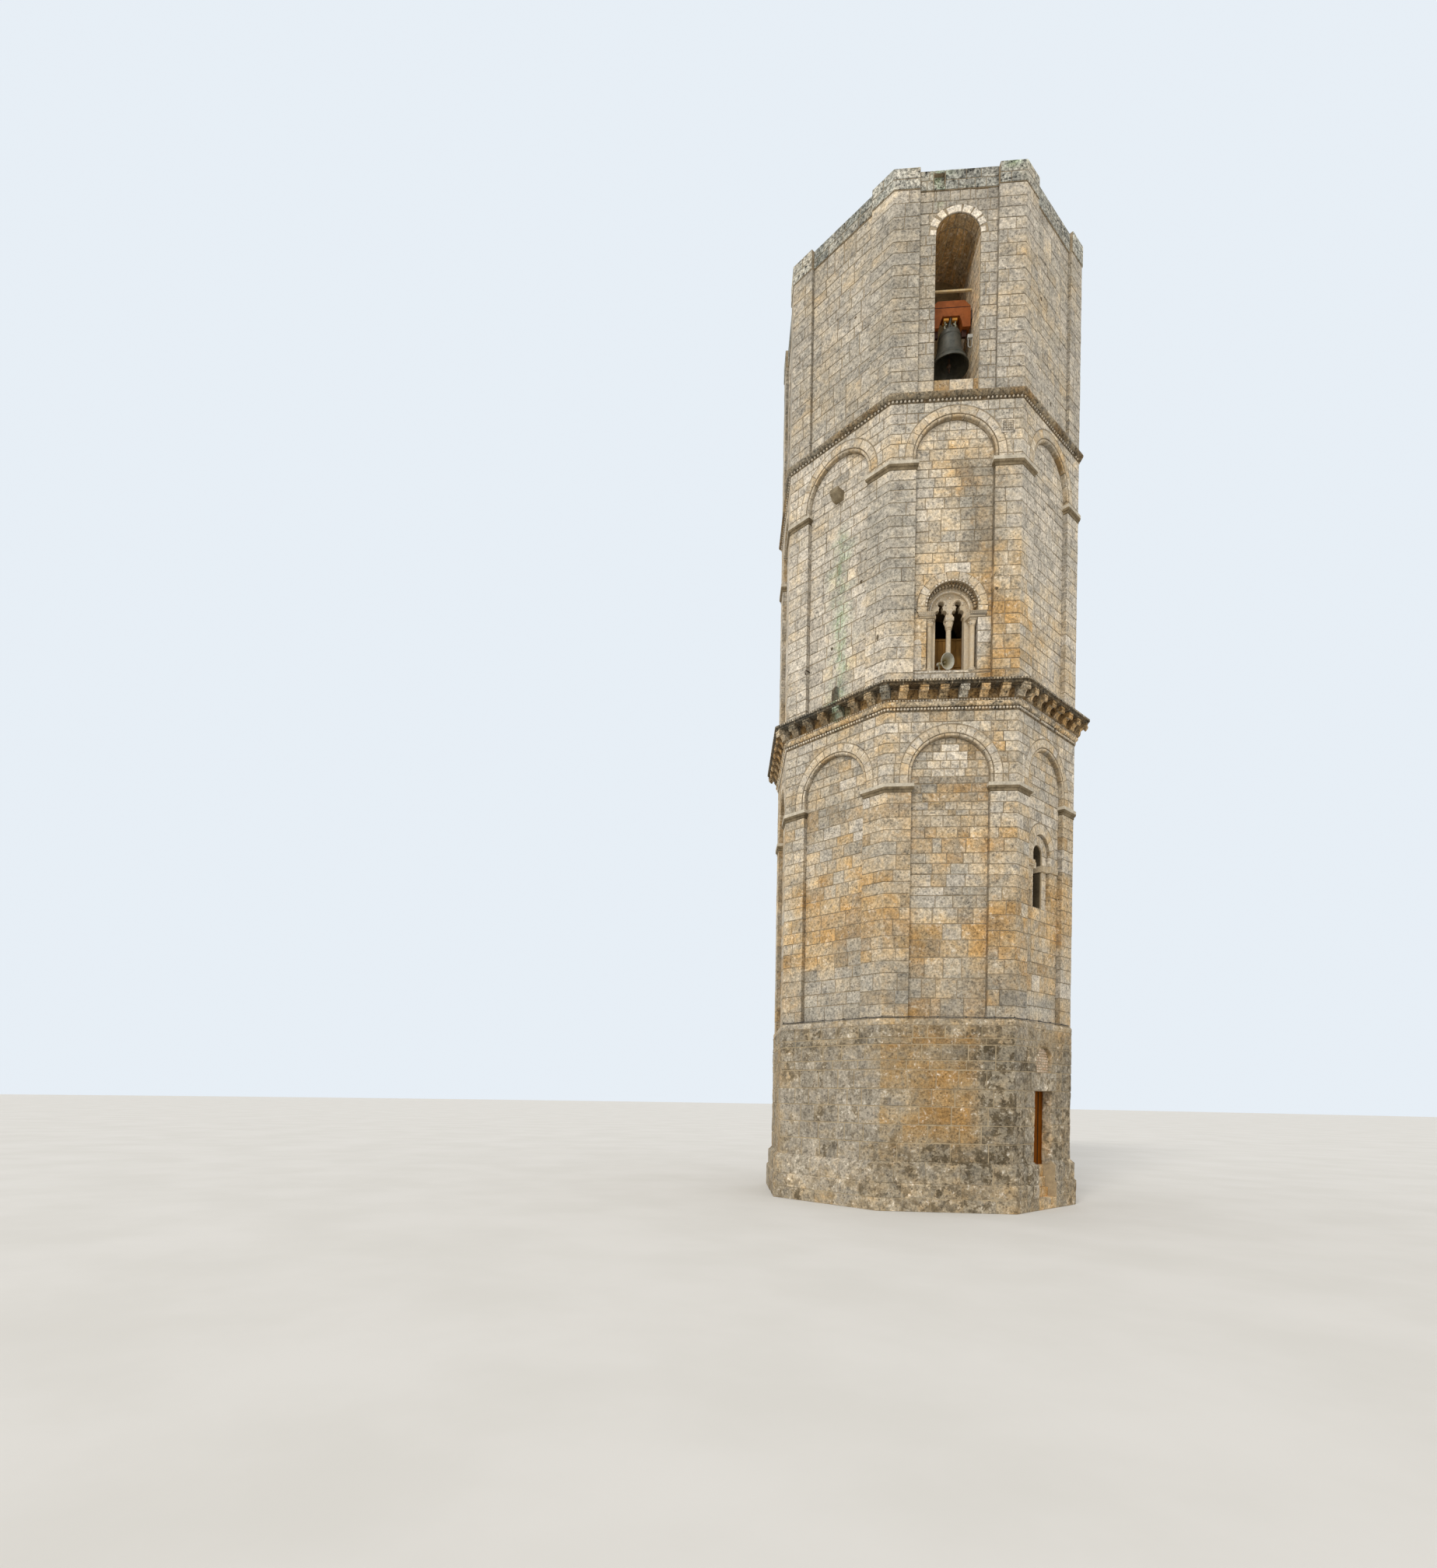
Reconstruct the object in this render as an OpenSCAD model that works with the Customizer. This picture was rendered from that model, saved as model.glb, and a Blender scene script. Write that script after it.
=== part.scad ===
// Octagonal bell tower of limestone ashlar, 25 m tall, hollow, with a swinging bell and a two-leaf door.
// Lengths are in millimetres. The axis of the tower is Z, the ground is z = 0 and the face with the
// twin window looks towards -Y. Faces are named by their angle about Z: 0 is the front, 45 the door face.
// The levels of each storey are stacked up from the heights below.

/* [Plan] */
// Length of one side of the octagon, measured on the corner pilasters
side_w = 3080; // [2900:10:3300]
// Thickness of the masonry from the pilaster face to the rooms
wall_t = 1800; // [1650:10:1950]
// Width of the panel between two corner pilasters
panel_w = 1850; // [1800:10:1950]
// Depth of the blind panels of the two middle storeys
panel_d = 120; // [60:5:150]
// Depth of the panels of the bell storey
belfry_panel_d = 80; // [40:5:120]
// How far the base storey stands proud of the pilasters
base_proud = 30; // [15:5:60]
// Open joint between neighbouring blocks of a ring
mortar = 3; // [2:0.5:6]

/* [Storeys] */
// Height of the masonry between the recess over the door and the weathered course
base_cover = 420; // [350:10:600]
// Height of the lower storey with its cornice
lower_storey_h = 7990; // [7500:10:8600]
// Height of the upper storey with its string course
upper_storey_h = 7000; // [6600:10:7600]
// Height of the bell storey up to the foot of the parapet
bell_storey_h = 4900; // [4600:10:5300]
// Height of the corner blocks of the parapet
corner_block_h = 500; // [420:10:600]
// Height of the parapet between the corner blocks
parapet_h = 460; // [380:10:500]
// Thickness of the parapet
parapet_t = 300; // [220:10:400]

/* [Plinth] */
// Height of the lower plinth course
plinth_low_h = 660; // [560:10:760]
// Height of the plinth with its sloping top
plinth_h = 1160; // [1130:10:1300]
// Projection of the lower plinth course
plinth_low_out = 150; // [130:5:220]
// Projection of the upper plinth course
plinth_out = 105; // [70:5:120]
// Height of the slope at the top of the plinth
plinth_slope_h = 90; // [60:5:120]

/* [Ring courses] */
// Height of the weathered course on the base storey
base_course_h = 150; // [100:10:220]
// Height of the string course under the bell storey
string_h = 240; // [200:10:300]
// Projection of the string course
string_out = 95; // [60:5:120]
// Height of the round moulding and fascia under the corbels
torus_course_h = 280; // [240:10:320]
// Projection of the round moulding
torus_out = 75; // [50:5:90]
// Height of the corbels
corbel_h = 250; // [220:10:300]
// Width of a corbel
corbel_w = 200; // [150:5:220]
// Projection of a corbel
corbel_out = 255; // [200:5:280]
// Corbels on each face between the corner ones
corbel_count = 6; // [4:1:7]
// Thickness of the cornice slabs
cornice_h = 110; // [90:5:160]
// Projection of the cornice slabs
cornice_out = 320; // [300:5:380]

/* [Blind arcades] */
// Height of the masonry between the lower arches and the round moulding
lower_cover = 510; // [450:10:700]
// Height of the masonry between the upper arches and the string course
upper_cover = 280; // [240:10:400]
// How far the arches reach past the edges of the panels
arch_lap = 75; // [73:1:100]
// Straight part of the lower arches above the imposts
lower_stilt = 210; // [150:10:260]
// Straight part of the upper arches above the imposts
upper_stilt = 100; // [60:10:140]
// Height of the imposts
impost_h = 200; // [160:5:240]
// Projection of the imposts
impost_out = 60; // [40:5:80]
// Thickness of the round moulding of the arches
roll_w = 72; // [60:2:90]

/* [Twin window] */
// Height of the twin window's sill above the cornice
twin_sill_h = 400; // [300:10:500]
// Height of the lights from the sill to the top of the imposts
twin_light_h = 1400; // [1300:10:1500]
// Height of the twin window's imposts
twin_impost_h = 130; // [100:5:160]
// Straight part of the twin window's arch above the imposts
twin_stilt = 130; // [80:5:180]
// Radius of the twin window's passage through the wall
twin_r = 600; // [580:5:640]
// Width of the archivolt of the twin window
archivolt_w = 180; // [140:5:220]
// Projection of the archivolt
archivolt_out = 30; // [20:2:40]
// Depth of the inner arch of the twin window behind the panel
twin_frame_d = 200; // [180:5:240]
// Thickness of the inner arch and the traceried slab
twin_frame_t = 200; // [160:5:260]
// Width of the inner arch around the traceried slab
inner_arch_w = 150; // [120:5:180]
// Depth of the traceried slab behind the inner arch
tracery_d = 50; // [30:5:80]
// Half width of the two lights together
lights_half = 345; // [330:5:380]
// Radius of the column between the lights
column_r = 58; // [45:1:65]
// Radius of the columns at the jambs
jamb_column_r = 60; // [50:1:65]
// Height of the wooden screen behind the lights
screen_h = 1150; // [900:10:1300]
// Thickness of the wooden screen
screen_t = 40; // [25:1:60]
// Distance of the wooden screen behind the traceried slab
screen_set = 330; // [250:10:500]
// Height of the twin window's sill above the floor behind it
twin_breast = 700; // [600:10:900]

/* [Side window] */
// Height of the side window's sill above the base storey
side_sill_h = 2870; // [2700:10:3000]
// Height of the side window from the sill to the top of the imposts
side_light_h = 1140; // [1050:10:1250]
// Height of the side window's imposts
side_impost_h = 150; // [120:5:180]
// Straight part of the side window's arch above the imposts
side_stilt = 250; // [200:5:280]
// Radius of the outer order of the side window
side_r = 480; // [460:5:520]
// Radius of the light of the side window
side_light_r = 230; // [200:5:260]
// Depth of the side window's inner order behind the panel
side_frame_d = 90; // [80:5:120]
// Thickness of the side window's inner order
side_frame_t = 190; // [150:5:240]
// Projection of the side window's imposts
side_impost_out = 60; // [40:5:60]
// Height of the side window's sill above the floor behind it
side_breast = 880; // [700:10:1000]

/* [Bell opening] */
// Half width of the openings of the bell storey
opening_half = 530; // [515:5:600]
// Height of the sills of the bell openings above the string course
bell_sill_h = 350; // [250:10:450]
// Height of the masonry between the bell openings and the parapet
bell_cover = 520; // [460:10:700]

/* [Bell] */
// Distance of the bell's axis behind the pilaster face
bell_d = 750; // [720:10:800]
// Height of the bell's pivots above the sill
pivot_h = 2100; // [2000:10:2200]
// Radius of the bell's mouth
bell_r = 470; // [440:5:480]
// Height of the bell from mouth to shoulder
bell_h = 880; // [820:10:900]
// Level of the bell's shoulder below the pivots
shoulder_drop = 390; // [370:5:420]
// Gap between the headstock and the sides of the opening
headstock_side = 60; // [50:1:80]
// Thickness of the headstock
headstock_t = 240; // [180:10:280]
// Radius of the pivots
gudgeon_r = 30; // [24:1:36]
// Height of the cross bar above the pivots
bar_rise = 650; // [600:10:700]
// Thickness of the cross bar
bar_t = 44; // [30:2:60]
// Radius of the clapper's ball
clapper_ball_r = 58; // [45:1:60]
// Height of the clapper's ball above the bell's mouth
ball_rise = 70; // [60:5:120]

/* [Door] */
// Height of the threshold above the ground
threshold_h = 1060; // [1010:10:1080]
// Height of the doorway from the threshold to the lintel
door_h = 1860; // [1800:10:2000]
// Half width of the doorway between the jambs
door_half = 480; // [440:5:500]
// Depth of the rebates that the leaves close into
rebate = 80; // [70:5:110]
// Height of the lintel
lintel_h = 460; // [400:10:500]
// Half length of the lintel
lintel_half = 700; // [640:10:800]
// Depth of the jambs in front of the leaves
jamb_d = 200; // [180:5:240]
// Height of the passage above the underside of the lintel
passage_rise = 100; // [80:5:130]
// Thickness of the door leaves
leaf_t = 45; // [35:1:55]
// Width of one board of the leaves
board_w = 135; // [110:5:160]
// Place of the gap between the leaves, to the right of the middle
leaf_split = 265; // [200:5:300]
// Gap between the leaves
leaf_gap = 14; // [13:1:20]
// Running gap round the leaves
leaf_clear = 8; // [7:0.5:10]
// Radius of the door's hinge pins
pintle_r = 8; // [6:1:9]
// Radius of the recess over the door
lunette_r = 430; // [380:5:460]
// Straight part of the recess over the door
lunette_stilt = 230; // [180:5:260]
// Depth of the recess over the door
lunette_d = 150; // [120:5:180]
// Thickness of the brick infill in the recess
infill_t = 90; // [70:5:100]

/* [Floors] */
// Thickness of the floors
floor_t = 200; // [160:10:300]
// Thickness of the roof slab
roof_t = 300; // [220:10:400]

/* [Hidden] */
$fn = 96;
seat_gap = 0.3;
hinge_clear = 0.1;
half_turn = tan(22.5);
apothem = side_w / 2 / half_turn;
room_r = apothem - wall_t;
panel_r = apothem - panel_d;
belfry_r = apothem - belfry_panel_d;
base_r = apothem + base_proud;
pilaster_w = (side_w - panel_w) / 2;
far = 2 * apothem;
cardinal = [0, 90, 180, 270];
diagonal = [45, 135, 225, 315];
all_faces = concat(cardinal, diagonal);
twin_faces = [0, 180];
door_face = 45;
side_window_faces = [45, 225];
bracket_face = 315;
lintel_z = threshold_h + door_h;
lintel_top = lintel_z + lintel_h;
lunette_spring = lintel_top + lunette_stilt;
base_low = lunette_spring + lunette_r + base_cover;
base_top = base_low + base_course_h;
cornice_top = base_top + lower_storey_h;
string_top = cornice_top + upper_storey_h;
walls_top = string_top + bell_storey_h;
string_low = string_top - string_h;
cornice_low = cornice_top - cornice_h;
corbel_low = cornice_low - corbel_h;
torus_low = corbel_low - torus_course_h;
arch_r = panel_w / 2 + arch_lap;
lower_impost_top = torus_low - lower_cover - arch_r - lower_stilt;
upper_impost_top = string_low - upper_cover - arch_r - upper_stilt;
twin_sill = cornice_top + twin_sill_h;
twin_impost_top = twin_sill + twin_light_h;
twin_spring = twin_impost_top + twin_stilt;
twin_floor = twin_sill - twin_breast;
side_sill = base_top + side_sill_h;
side_impost_top = side_sill + side_light_h;
side_spring = side_impost_top + side_stilt;
side_floor = side_sill - side_breast;
opening_sill = string_top + bell_sill_h;
opening_spring = walls_top - bell_cover - opening_half;
pivot_z = opening_sill + pivot_h;
headstock_half = opening_half - headstock_side;
passage_half = door_half + rebate;
passage_top = lintel_z + passage_rise;
limestone = "#cfc3a3";
pale_stone = "#d9d0b8";
grey_stone = "#a9a18c";
rough_stone = "#9a8c70";

function half(r) = r * half_turn - mortar / 2 / cos(22.5);
function corner_frame(x, r) = [x * cos(22.5) - r * sin(22.5), -x * sin(22.5) - r * cos(22.5)];
function arc(c, r, a0, a1, n) = [for (i = [0:n]) c + r * [cos(a0 + (a1 - a0) * i / n), sin(a0 + (a1 - a0) * i / n)]];

// Round-headed outline in x and z, from the level low to a half circle round the level spring.
module arch_shape(r, low, spring) {
    translate([-r, low]) square([2 * r, spring - low]);
    intersection() {
        translate([0, spring]) circle(r);
        translate([-r, low]) square([2 * r, spring - low + r]);
    }
}

// Places children on the face at angle a, with x to the right, +y inwards from the pilaster face.
module on_face(a) rotate([0, 0, a]) translate([0, -apothem, 0]) children();

// Places children at the corner to the right of the face at angle a, the axis of the tower as origin.
module at_corner(a) rotate([0, 0, a + 22.5]) children();

// Outline in x and z, made solid from depth d0 to depth d1 behind the pilaster face.
module through(d0, d1) translate([0, d1, 0]) rotate([90, 0, 0]) linear_extrude(d1 - d0) children();

// One eighth of a ring wall, from radius r0 to r1.
module segment(r0, r1, z0, z1)
    translate([0, apothem, z0]) linear_extrude(z1 - z0)
        polygon([[-half(r0), -r0], [half(r0), -r0], [half(r1), -r1], [-half(r1), -r1]]);

// One eighth of a moulded ring: profile points are [radius, z].
module moulded_segment(profile) {
    radii = [for (p = profile) p[0]];
    levels = [for (p = profile) p[1]];
    intersection() {
        translate([0, apothem, 0]) rotate([90, 0, 90]) linear_extrude(far, center = true)
            polygon([for (p = profile) [-p[0], p[1]]]);
        segment(min(radii) / 2, max(radii) + mortar, min(levels), max(levels));
    }
}

// L-shaped plan that wraps a corner: radius r0 to r1, with wings of width w on both faces.
module corner_strip(r0, r1, w, z0, z1) {
    edge = r1 * half_turn - w;
    wing = [corner_frame(edge, r0), corner_frame(edge, r1)];
    translate([0, 0, z0 + seat_gap]) linear_extrude(z1 - z0 - seat_gap)
        polygon(concat(wing, [corner_frame(r1 * half_turn, r1)],
            [for (i = [1:-1:0]) [-wing[i][0], wing[i][1]]], [corner_frame(r0 * half_turn, r0)]));
}

// Octagonal prism with the apothem r. Turned by 22.5 degrees its faces line up with those of the tower.
module octagon(r, z0, z1, turn = 22.5) translate([0, 0, z0]) rotate([0, 0, turn]) linear_extrude(z1 - z0)
    circle(r / cos(22.5), $fn = 8);

// Section of an impost from its foot: projection against height, with a hollow and a top fillet.
function impost_section(out, h) = concat([[0, 0], [out * 0.3, 0], [out * 0.3, h * 0.2]],
    arc([out * 0.8, h * 0.2], out * 0.5, 180, 90, 6), [[out, h * 0.55], [out, h], [0, h]]);

// Sloping plinth section, from the wall face r outwards.
function plinth_section(r) = [[r, 0], [r + plinth_low_out, 0], [r + plinth_low_out, plinth_low_h - 40],
    [r + plinth_out, plinth_low_h], [r + plinth_out, plinth_h - plinth_slope_h], [r + 10, plinth_h], [r, plinth_h]];

module plinth_piece(x0, x1) intersection() {
    on_face(door_face) moulded_segment(plinth_section(base_r));
    on_face(door_face) translate([x0, -far / 2, 0]) cube([x1 - x0, far, plinth_h]);
}

module plinth() color(rough_stone) {
    for (a = all_faces) if (a != door_face) on_face(a) moulded_segment(plinth_section(base_r));
    plinth_piece(-far, -door_half);
    plinth_piece(door_half, far);
}

module base_walls() color(rough_stone)
    for (a = all_faces) if (a != door_face) on_face(a) segment(room_r, base_r, 0, base_low);

module door_jambs() color(rough_stone) for (s = [-1, 1]) on_face(door_face) intersection() {
    segment(apothem - jamb_d, base_r, 0, passage_top);
    through(-base_proud, jamb_d) polygon([[s * door_half, 0], [s * door_half, lintel_z],
        [s * lintel_half, lintel_z], [s * lintel_half, passage_top], [s * far, passage_top], [s * far, 0]]);
}

module door_wall_sides() color(rough_stone) for (s = [-1, 1]) on_face(door_face)
    linear_extrude(passage_top) polygon([[s * passage_half, jamb_d], [s * half(apothem - jamb_d), jamb_d],
        [s * half(room_r), wall_t], [s * passage_half, wall_t]]);

module door_head() color(rough_stone) on_face(door_face) difference() {
    segment(room_r, base_r, passage_top, base_low);
    through(-far, jamb_d) translate([-lintel_half, passage_top - 1]) square([2 * lintel_half, lintel_h - passage_rise + 1]);
    through(-far, lunette_d) arch_shape(lunette_r, lintel_top - 1, lunette_spring);
}

module door_lintel() color(grey_stone) on_face(door_face)
    through(-base_proud, jamb_d) translate([-lintel_half, lintel_z]) square([2 * lintel_half, lintel_h]);

module lunette_infill() color("#c59a7b") on_face(door_face)
    through(lunette_d - infill_t, lunette_d)
        arch_shape(lunette_r - seat_gap, lintel_top, lunette_spring);

// Each step: depth of its front behind the pilaster face and the share of the rise that it reaches.
steps = [[-base_proud - plinth_low_out, 0.255], [jamb_d - 170, 0.47], [jamb_d - 90, 0.715], [jamb_d - 35, 1]];

module door_steps() color(grey_stone) on_face(door_face) {
    for (s = steps) translate([-door_half, s[0], 0]) cube([2 * door_half, jamb_d - s[0], s[1] * threshold_h]);
    translate([-passage_half, jamb_d, 0]) cube([2 * passage_half, wall_t - jamb_d, threshold_h]);
}

// Hinges of the leaves: the knuckle turns on a pin that an arm carries from the side of the passage.
knuckle_r = pintle_r + 9;
knuckle_h = 120;
hinge_inset = knuckle_r + 6;
hinge_set_back = 14;
hinge_x = passage_half - hinge_inset;
hinge_d = jamb_d + leaf_clear + leaf_t + hinge_set_back;
hinge_levels = [threshold_h + 250, passage_top - 350];
pintle_arm_t = 12;
ledge_t = 20;
groove = 6;

// A leaf of upright boards with two ledges inside, hinged on the side s, its free edge at x = free_x.
module door_leaf(s, free_x) on_face(door_face) {
    edge_x = s * (hinge_x + hinge_set_back);
    left = min(edge_x, free_x);
    leaf_w = abs(free_x - edge_x);
    leaf_z = threshold_h + leaf_clear;
    boards = round(leaf_w / board_w);
    difference() {
        union() {
            translate([left, jamb_d + leaf_clear, leaf_z]) cube([leaf_w, leaf_t, passage_top - leaf_clear - leaf_z]);
            for (z = hinge_levels) {
                translate([s * hinge_x, hinge_d, z]) cylinder(h = knuckle_h, r = knuckle_r);
                ledge_x = [s * (hinge_x - 45), free_x + s * 20];
                translate([min(ledge_x), jamb_d + leaf_clear + leaf_t - 1, z])
                    cube([abs(ledge_x[1] - ledge_x[0]), ledge_t + 1, knuckle_h]);
            }
        }
        for (i = [1:boards - 1]) translate([left + i * leaf_w / boards - groove / 2, 0, 0])
            cube([groove, jamb_d + leaf_clear + groove, far]);
        for (z = hinge_levels) translate([s * hinge_x, hinge_d, z - 1])
            cylinder(h = knuckle_h + 2, r = pintle_r + hinge_clear);
    }
}

module wide_door_leaf() color("#8a5a1c") door_leaf(-1, leaf_split - leaf_gap / 2);

module narrow_door_leaf() color("#8a5a1c") door_leaf(1, leaf_split + leaf_gap / 2);

module door_pintles() color("#3b3733") on_face(door_face) for (s = [-1, 1], z = hinge_levels) {
    arm_z = z - seat_gap - pintle_arm_t;
    translate([min(s * hinge_x, s * passage_half), hinge_d - pintle_r, arm_z])
        cube([hinge_inset, 2 * pintle_r, pintle_arm_t]);
    translate([s * hinge_x, hinge_d, arm_z]) cylinder(h = pintle_arm_t + knuckle_h, r = pintle_r);
}

// Weathered course on the base storey and the string course with its round edge.
module string_courses() color(grey_stone) for (a = all_faces) on_face(a) {
    moulded_segment([[room_r, base_low], [base_r, base_low], [base_r, base_top - 50], [apothem, base_top], [room_r, base_top]]);
    bead_r = string_h / 6;
    moulded_segment(concat([[room_r, string_low], [apothem + 10, string_low], [apothem + 10, string_low + 2 * bead_r]],
        arc([apothem + string_out - 2 * bead_r, string_top - 2 * bead_r], 2 * bead_r, -90, 60, 10),
        [[apothem, string_top], [room_r, string_top]]));
}

module storey_walls() color(limestone) {
    for (a = all_faces) if (!len(search(a, side_window_faces))) on_face(a) segment(room_r, panel_r, base_top, torus_low);
    for (a = all_faces) if (!len(search(a, twin_faces))) on_face(a) segment(room_r, panel_r, cornice_top, string_low);
    for (a = diagonal) on_face(a) segment(room_r, belfry_r, string_top, walls_top);
}

module side_window_walls() color(limestone) for (a = side_window_faces) on_face(a) difference() {
    segment(room_r, panel_r, base_top, torus_low);
    through(0, wall_t + 1) arch_shape(side_r, side_sill, side_spring);
}

module side_window_frames() color(pale_stone) for (a = side_window_faces) on_face(a)
    through(panel_d + side_frame_d, panel_d + side_frame_d + side_frame_t) difference() {
        arch_shape(side_r - seat_gap, side_sill, side_spring);
        arch_shape(side_light_r, side_sill - 1, side_spring);
    }

module side_window_imposts() color(pale_stone) {
    frame_d = panel_d + side_frame_d;
    for (a = side_window_faces) on_face(a) for (s = [-1, 1])
        translate([0, 0, side_impost_top - side_impost_h]) linear_extrude(side_impost_h)
            polygon([[s * (side_r + 350), panel_d], [s * (side_r + 350), panel_d - side_impost_out],
                [s * (side_r - 50), panel_d - side_impost_out], [s * (side_r - 50), frame_d - side_impost_out],
                [s * (side_light_r - 40), frame_d - side_impost_out],
                [s * (side_light_r - 40), frame_d + side_frame_t], [s * side_light_r, frame_d + side_frame_t],
                [s * side_light_r, frame_d],
                [s * (side_r - seat_gap), frame_d], [s * (side_r - seat_gap), panel_d]]);
}

module corner_pilasters() color(limestone) for (a = all_faces) at_corner(a) {
    corner_strip(panel_r + seat_gap, apothem, pilaster_w, base_top, lower_impost_top - impost_h);
    corner_strip(panel_r + seat_gap, apothem, pilaster_w, cornice_top, upper_impost_top - impost_h);
    corner_strip(belfry_r + seat_gap, apothem, pilaster_w, string_top, walls_top);
}

// Impost round a corner: the moulding runs along both faces and returns into both panels.
module impost(top) {
    section = impost_section(impost_out, impost_h - seat_gap);
    reach = apothem / cos(22.5) / 2;
    low = top - impost_h;
    high = top - seat_gap;
    difference() {
        intersection_for (t = [-1, 1]) rotate([0, 0, -22.5 * t]) intersection() {
            rotate([90, 0, 90]) linear_extrude(far, center = true)
                polygon(concat([[-reach, low]], [for (p = section) if (p[0] > 0) [-apothem - p[0], low + p[1]]], [[-reach, high]]));
            rotate([90, 0, 0]) linear_extrude(far) polygon(concat([[t * far, low]],
                [for (p = section) if (p[0] > 0) [t * (panel_w / 2 - p[0]), low + p[1]]], [[t * far, high]]));
        }
        octagon(panel_r + seat_gap, low - 1, top + 1, 0);
    }
}

module imposts() color(grey_stone) for (a = all_faces, top = [lower_impost_top, upper_impost_top])
    at_corner(a) impost(top);

module spandrel(impost_top, stilt, top) difference() {
    segment(panel_r, apothem, impost_top, top);
    through(-1, panel_d + 1) arch_shape(arch_r, impost_top - 1, impost_top + stilt);
}

module spandrels() color(limestone) for (a = all_faces) on_face(a) {
    spandrel(lower_impost_top, lower_stilt, torus_low);
    spandrel(upper_impost_top, upper_stilt, string_low);
}

// Section of the round moulding: a flat seat against the panel and a three-quarter round at the front.
module roll_section() {
    roll_r = roll_w / 2;
    translate([arch_r - seat_gap - roll_r, 0]) {
        translate([-roll_r, 0]) square([roll_w, panel_d - roll_r]);
        translate([0, panel_d - roll_r]) circle(roll_r, $fn = 32);
    }
}

module arch_roll(impost_top, stilt) translate([0, panel_d, impost_top]) {
    translate([0, 0, stilt]) rotate([90, 0, 0]) rotate_extrude(angle = 180) roll_section();
    for (s = [0, 1]) mirror([s, 0, 0]) translate([0, 0, seat_gap]) linear_extrude(stilt - seat_gap)
        mirror([0, 1]) roll_section();
}

module arch_rolls() color(pale_stone) for (a = all_faces) on_face(a) {
    arch_roll(lower_impost_top, lower_stilt);
    arch_roll(upper_impost_top, upper_stilt);
}

// Bead seat, round moulding and fascia under the corbels.
module torus_course() color(pale_stone) for (a = all_faces) on_face(a) {
    torus_r = torus_course_h / 5;
    moulded_segment(concat([[room_r, torus_low], [apothem + 10, torus_low], [apothem + 10, torus_low + 2 * torus_r]],
        arc([apothem + torus_out - torus_r, torus_low + 3 * torus_r], torus_r, -90, 90, 10),
        [[apothem + 30, torus_low + 4 * torus_r], [apothem + 30, corbel_low], [room_r, corbel_low]]));
}

// Side view of a corbel: a hollow below, a round above and a square head under the slab.
function corbel_section(out, low, high) = concat([[0, low], [out * 0.35, low]],
    arc([out * 0.95, low], out * 0.6, 180, 110, 6),
    arc([out * 0.78, low + corbel_h * 0.62], out * 0.22, -60, 60, 6),
    [[out, high - corbel_h * 0.18], [out, high], [0, high]]);

module corbel_course() color(grey_stone) for (a = all_faces) on_face(a) {
    front_w = 2 * (apothem + corbel_out) * half_turn;
    pitch = front_w / (corbel_count + 1);
    segment(room_r, apothem, corbel_low, cornice_low);
    for (i = [1:corbel_count]) translate([pitch * i - front_w / 2 - corbel_w / 2, 0, 0]) rotate([90, 0, 90])
        linear_extrude(corbel_w) polygon([for (p = corbel_section(corbel_out, corbel_low, cornice_low)) [1 - p[0], p[1]]]);
}

module corner_corbels() color(grey_stone) for (a = all_faces) at_corner(a) difference() {
    translate([-corbel_w / 2, -apothem / cos(22.5), 0]) rotate([90, 0, 90]) linear_extrude(corbel_w)
        polygon([for (p = corbel_section(corbel_out / cos(22.5), corbel_low + seat_gap, cornice_low - seat_gap))
            [p[0] > 0 ? -p[0] : corbel_w, p[1]]]);
    octagon(apothem + seat_gap, corbel_low - 1, cornice_low + 1, 0);
}

// Slabs of the cornice, with a dripping edge below and a slope on top.
module cornice() color(grey_stone) for (a = all_faces) on_face(a)
    moulded_segment([[room_r, cornice_low], [apothem + cornice_out - 30, cornice_low],
        [apothem + cornice_out - 30, cornice_low + cornice_h * 0.35], [apothem + cornice_out, cornice_low + cornice_h * 0.45],
        [apothem + cornice_out, cornice_top - 10], [apothem, cornice_top], [room_r, cornice_top]]);

module twin_window_walls() color(limestone) for (a = twin_faces) on_face(a) difference() {
    segment(room_r, panel_r, cornice_top, string_low);
    through(0, wall_t + 1) arch_shape(twin_r, twin_sill, twin_spring);
}

// Three-lobed head of one light, over the middle of the light at x.
module light_head(x) {
    lobe_r = (lights_half - column_r) / 4;
    translate([x, twin_impost_top]) {
        translate([-lobe_r * 1.6, -1]) square([lobe_r * 3.2, lobe_r * 1.6]);
        translate([-lobe_r * 0.58, 0]) square([lobe_r * 1.16, lobe_r * 3]);
        for (s = [-1, 1]) translate([s * lobe_r, lobe_r * 1.6]) circle(lobe_r * 0.98, $fn = 32);
        translate([0, lobe_r * 3]) circle(lobe_r * 0.75, $fn = 32);
        translate([0, lobe_r * 4.6]) circle(lobe_r * 1.05, $fn = 32);
    }
}

// The inner arch and its jambs, with the traceried slab set back inside the arch.
module twin_window_frames() color(pale_stone) for (a = twin_faces) on_face(a) difference() {
    frame_d = panel_d + twin_frame_d;
    through(frame_d, frame_d + twin_frame_t) difference() {
        arch_shape(twin_r - seat_gap, twin_sill, twin_spring);
        translate([-lights_half, twin_sill - 1]) square([2 * lights_half, twin_impost_top - twin_sill + 1]);
        for (s = [-1, 1]) light_head(s * (lights_half + column_r) / 2);
    }
    through(frame_d - 1, frame_d + tracery_d) arch_shape(twin_r - inner_arch_w, twin_impost_top, twin_spring);
}

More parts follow.
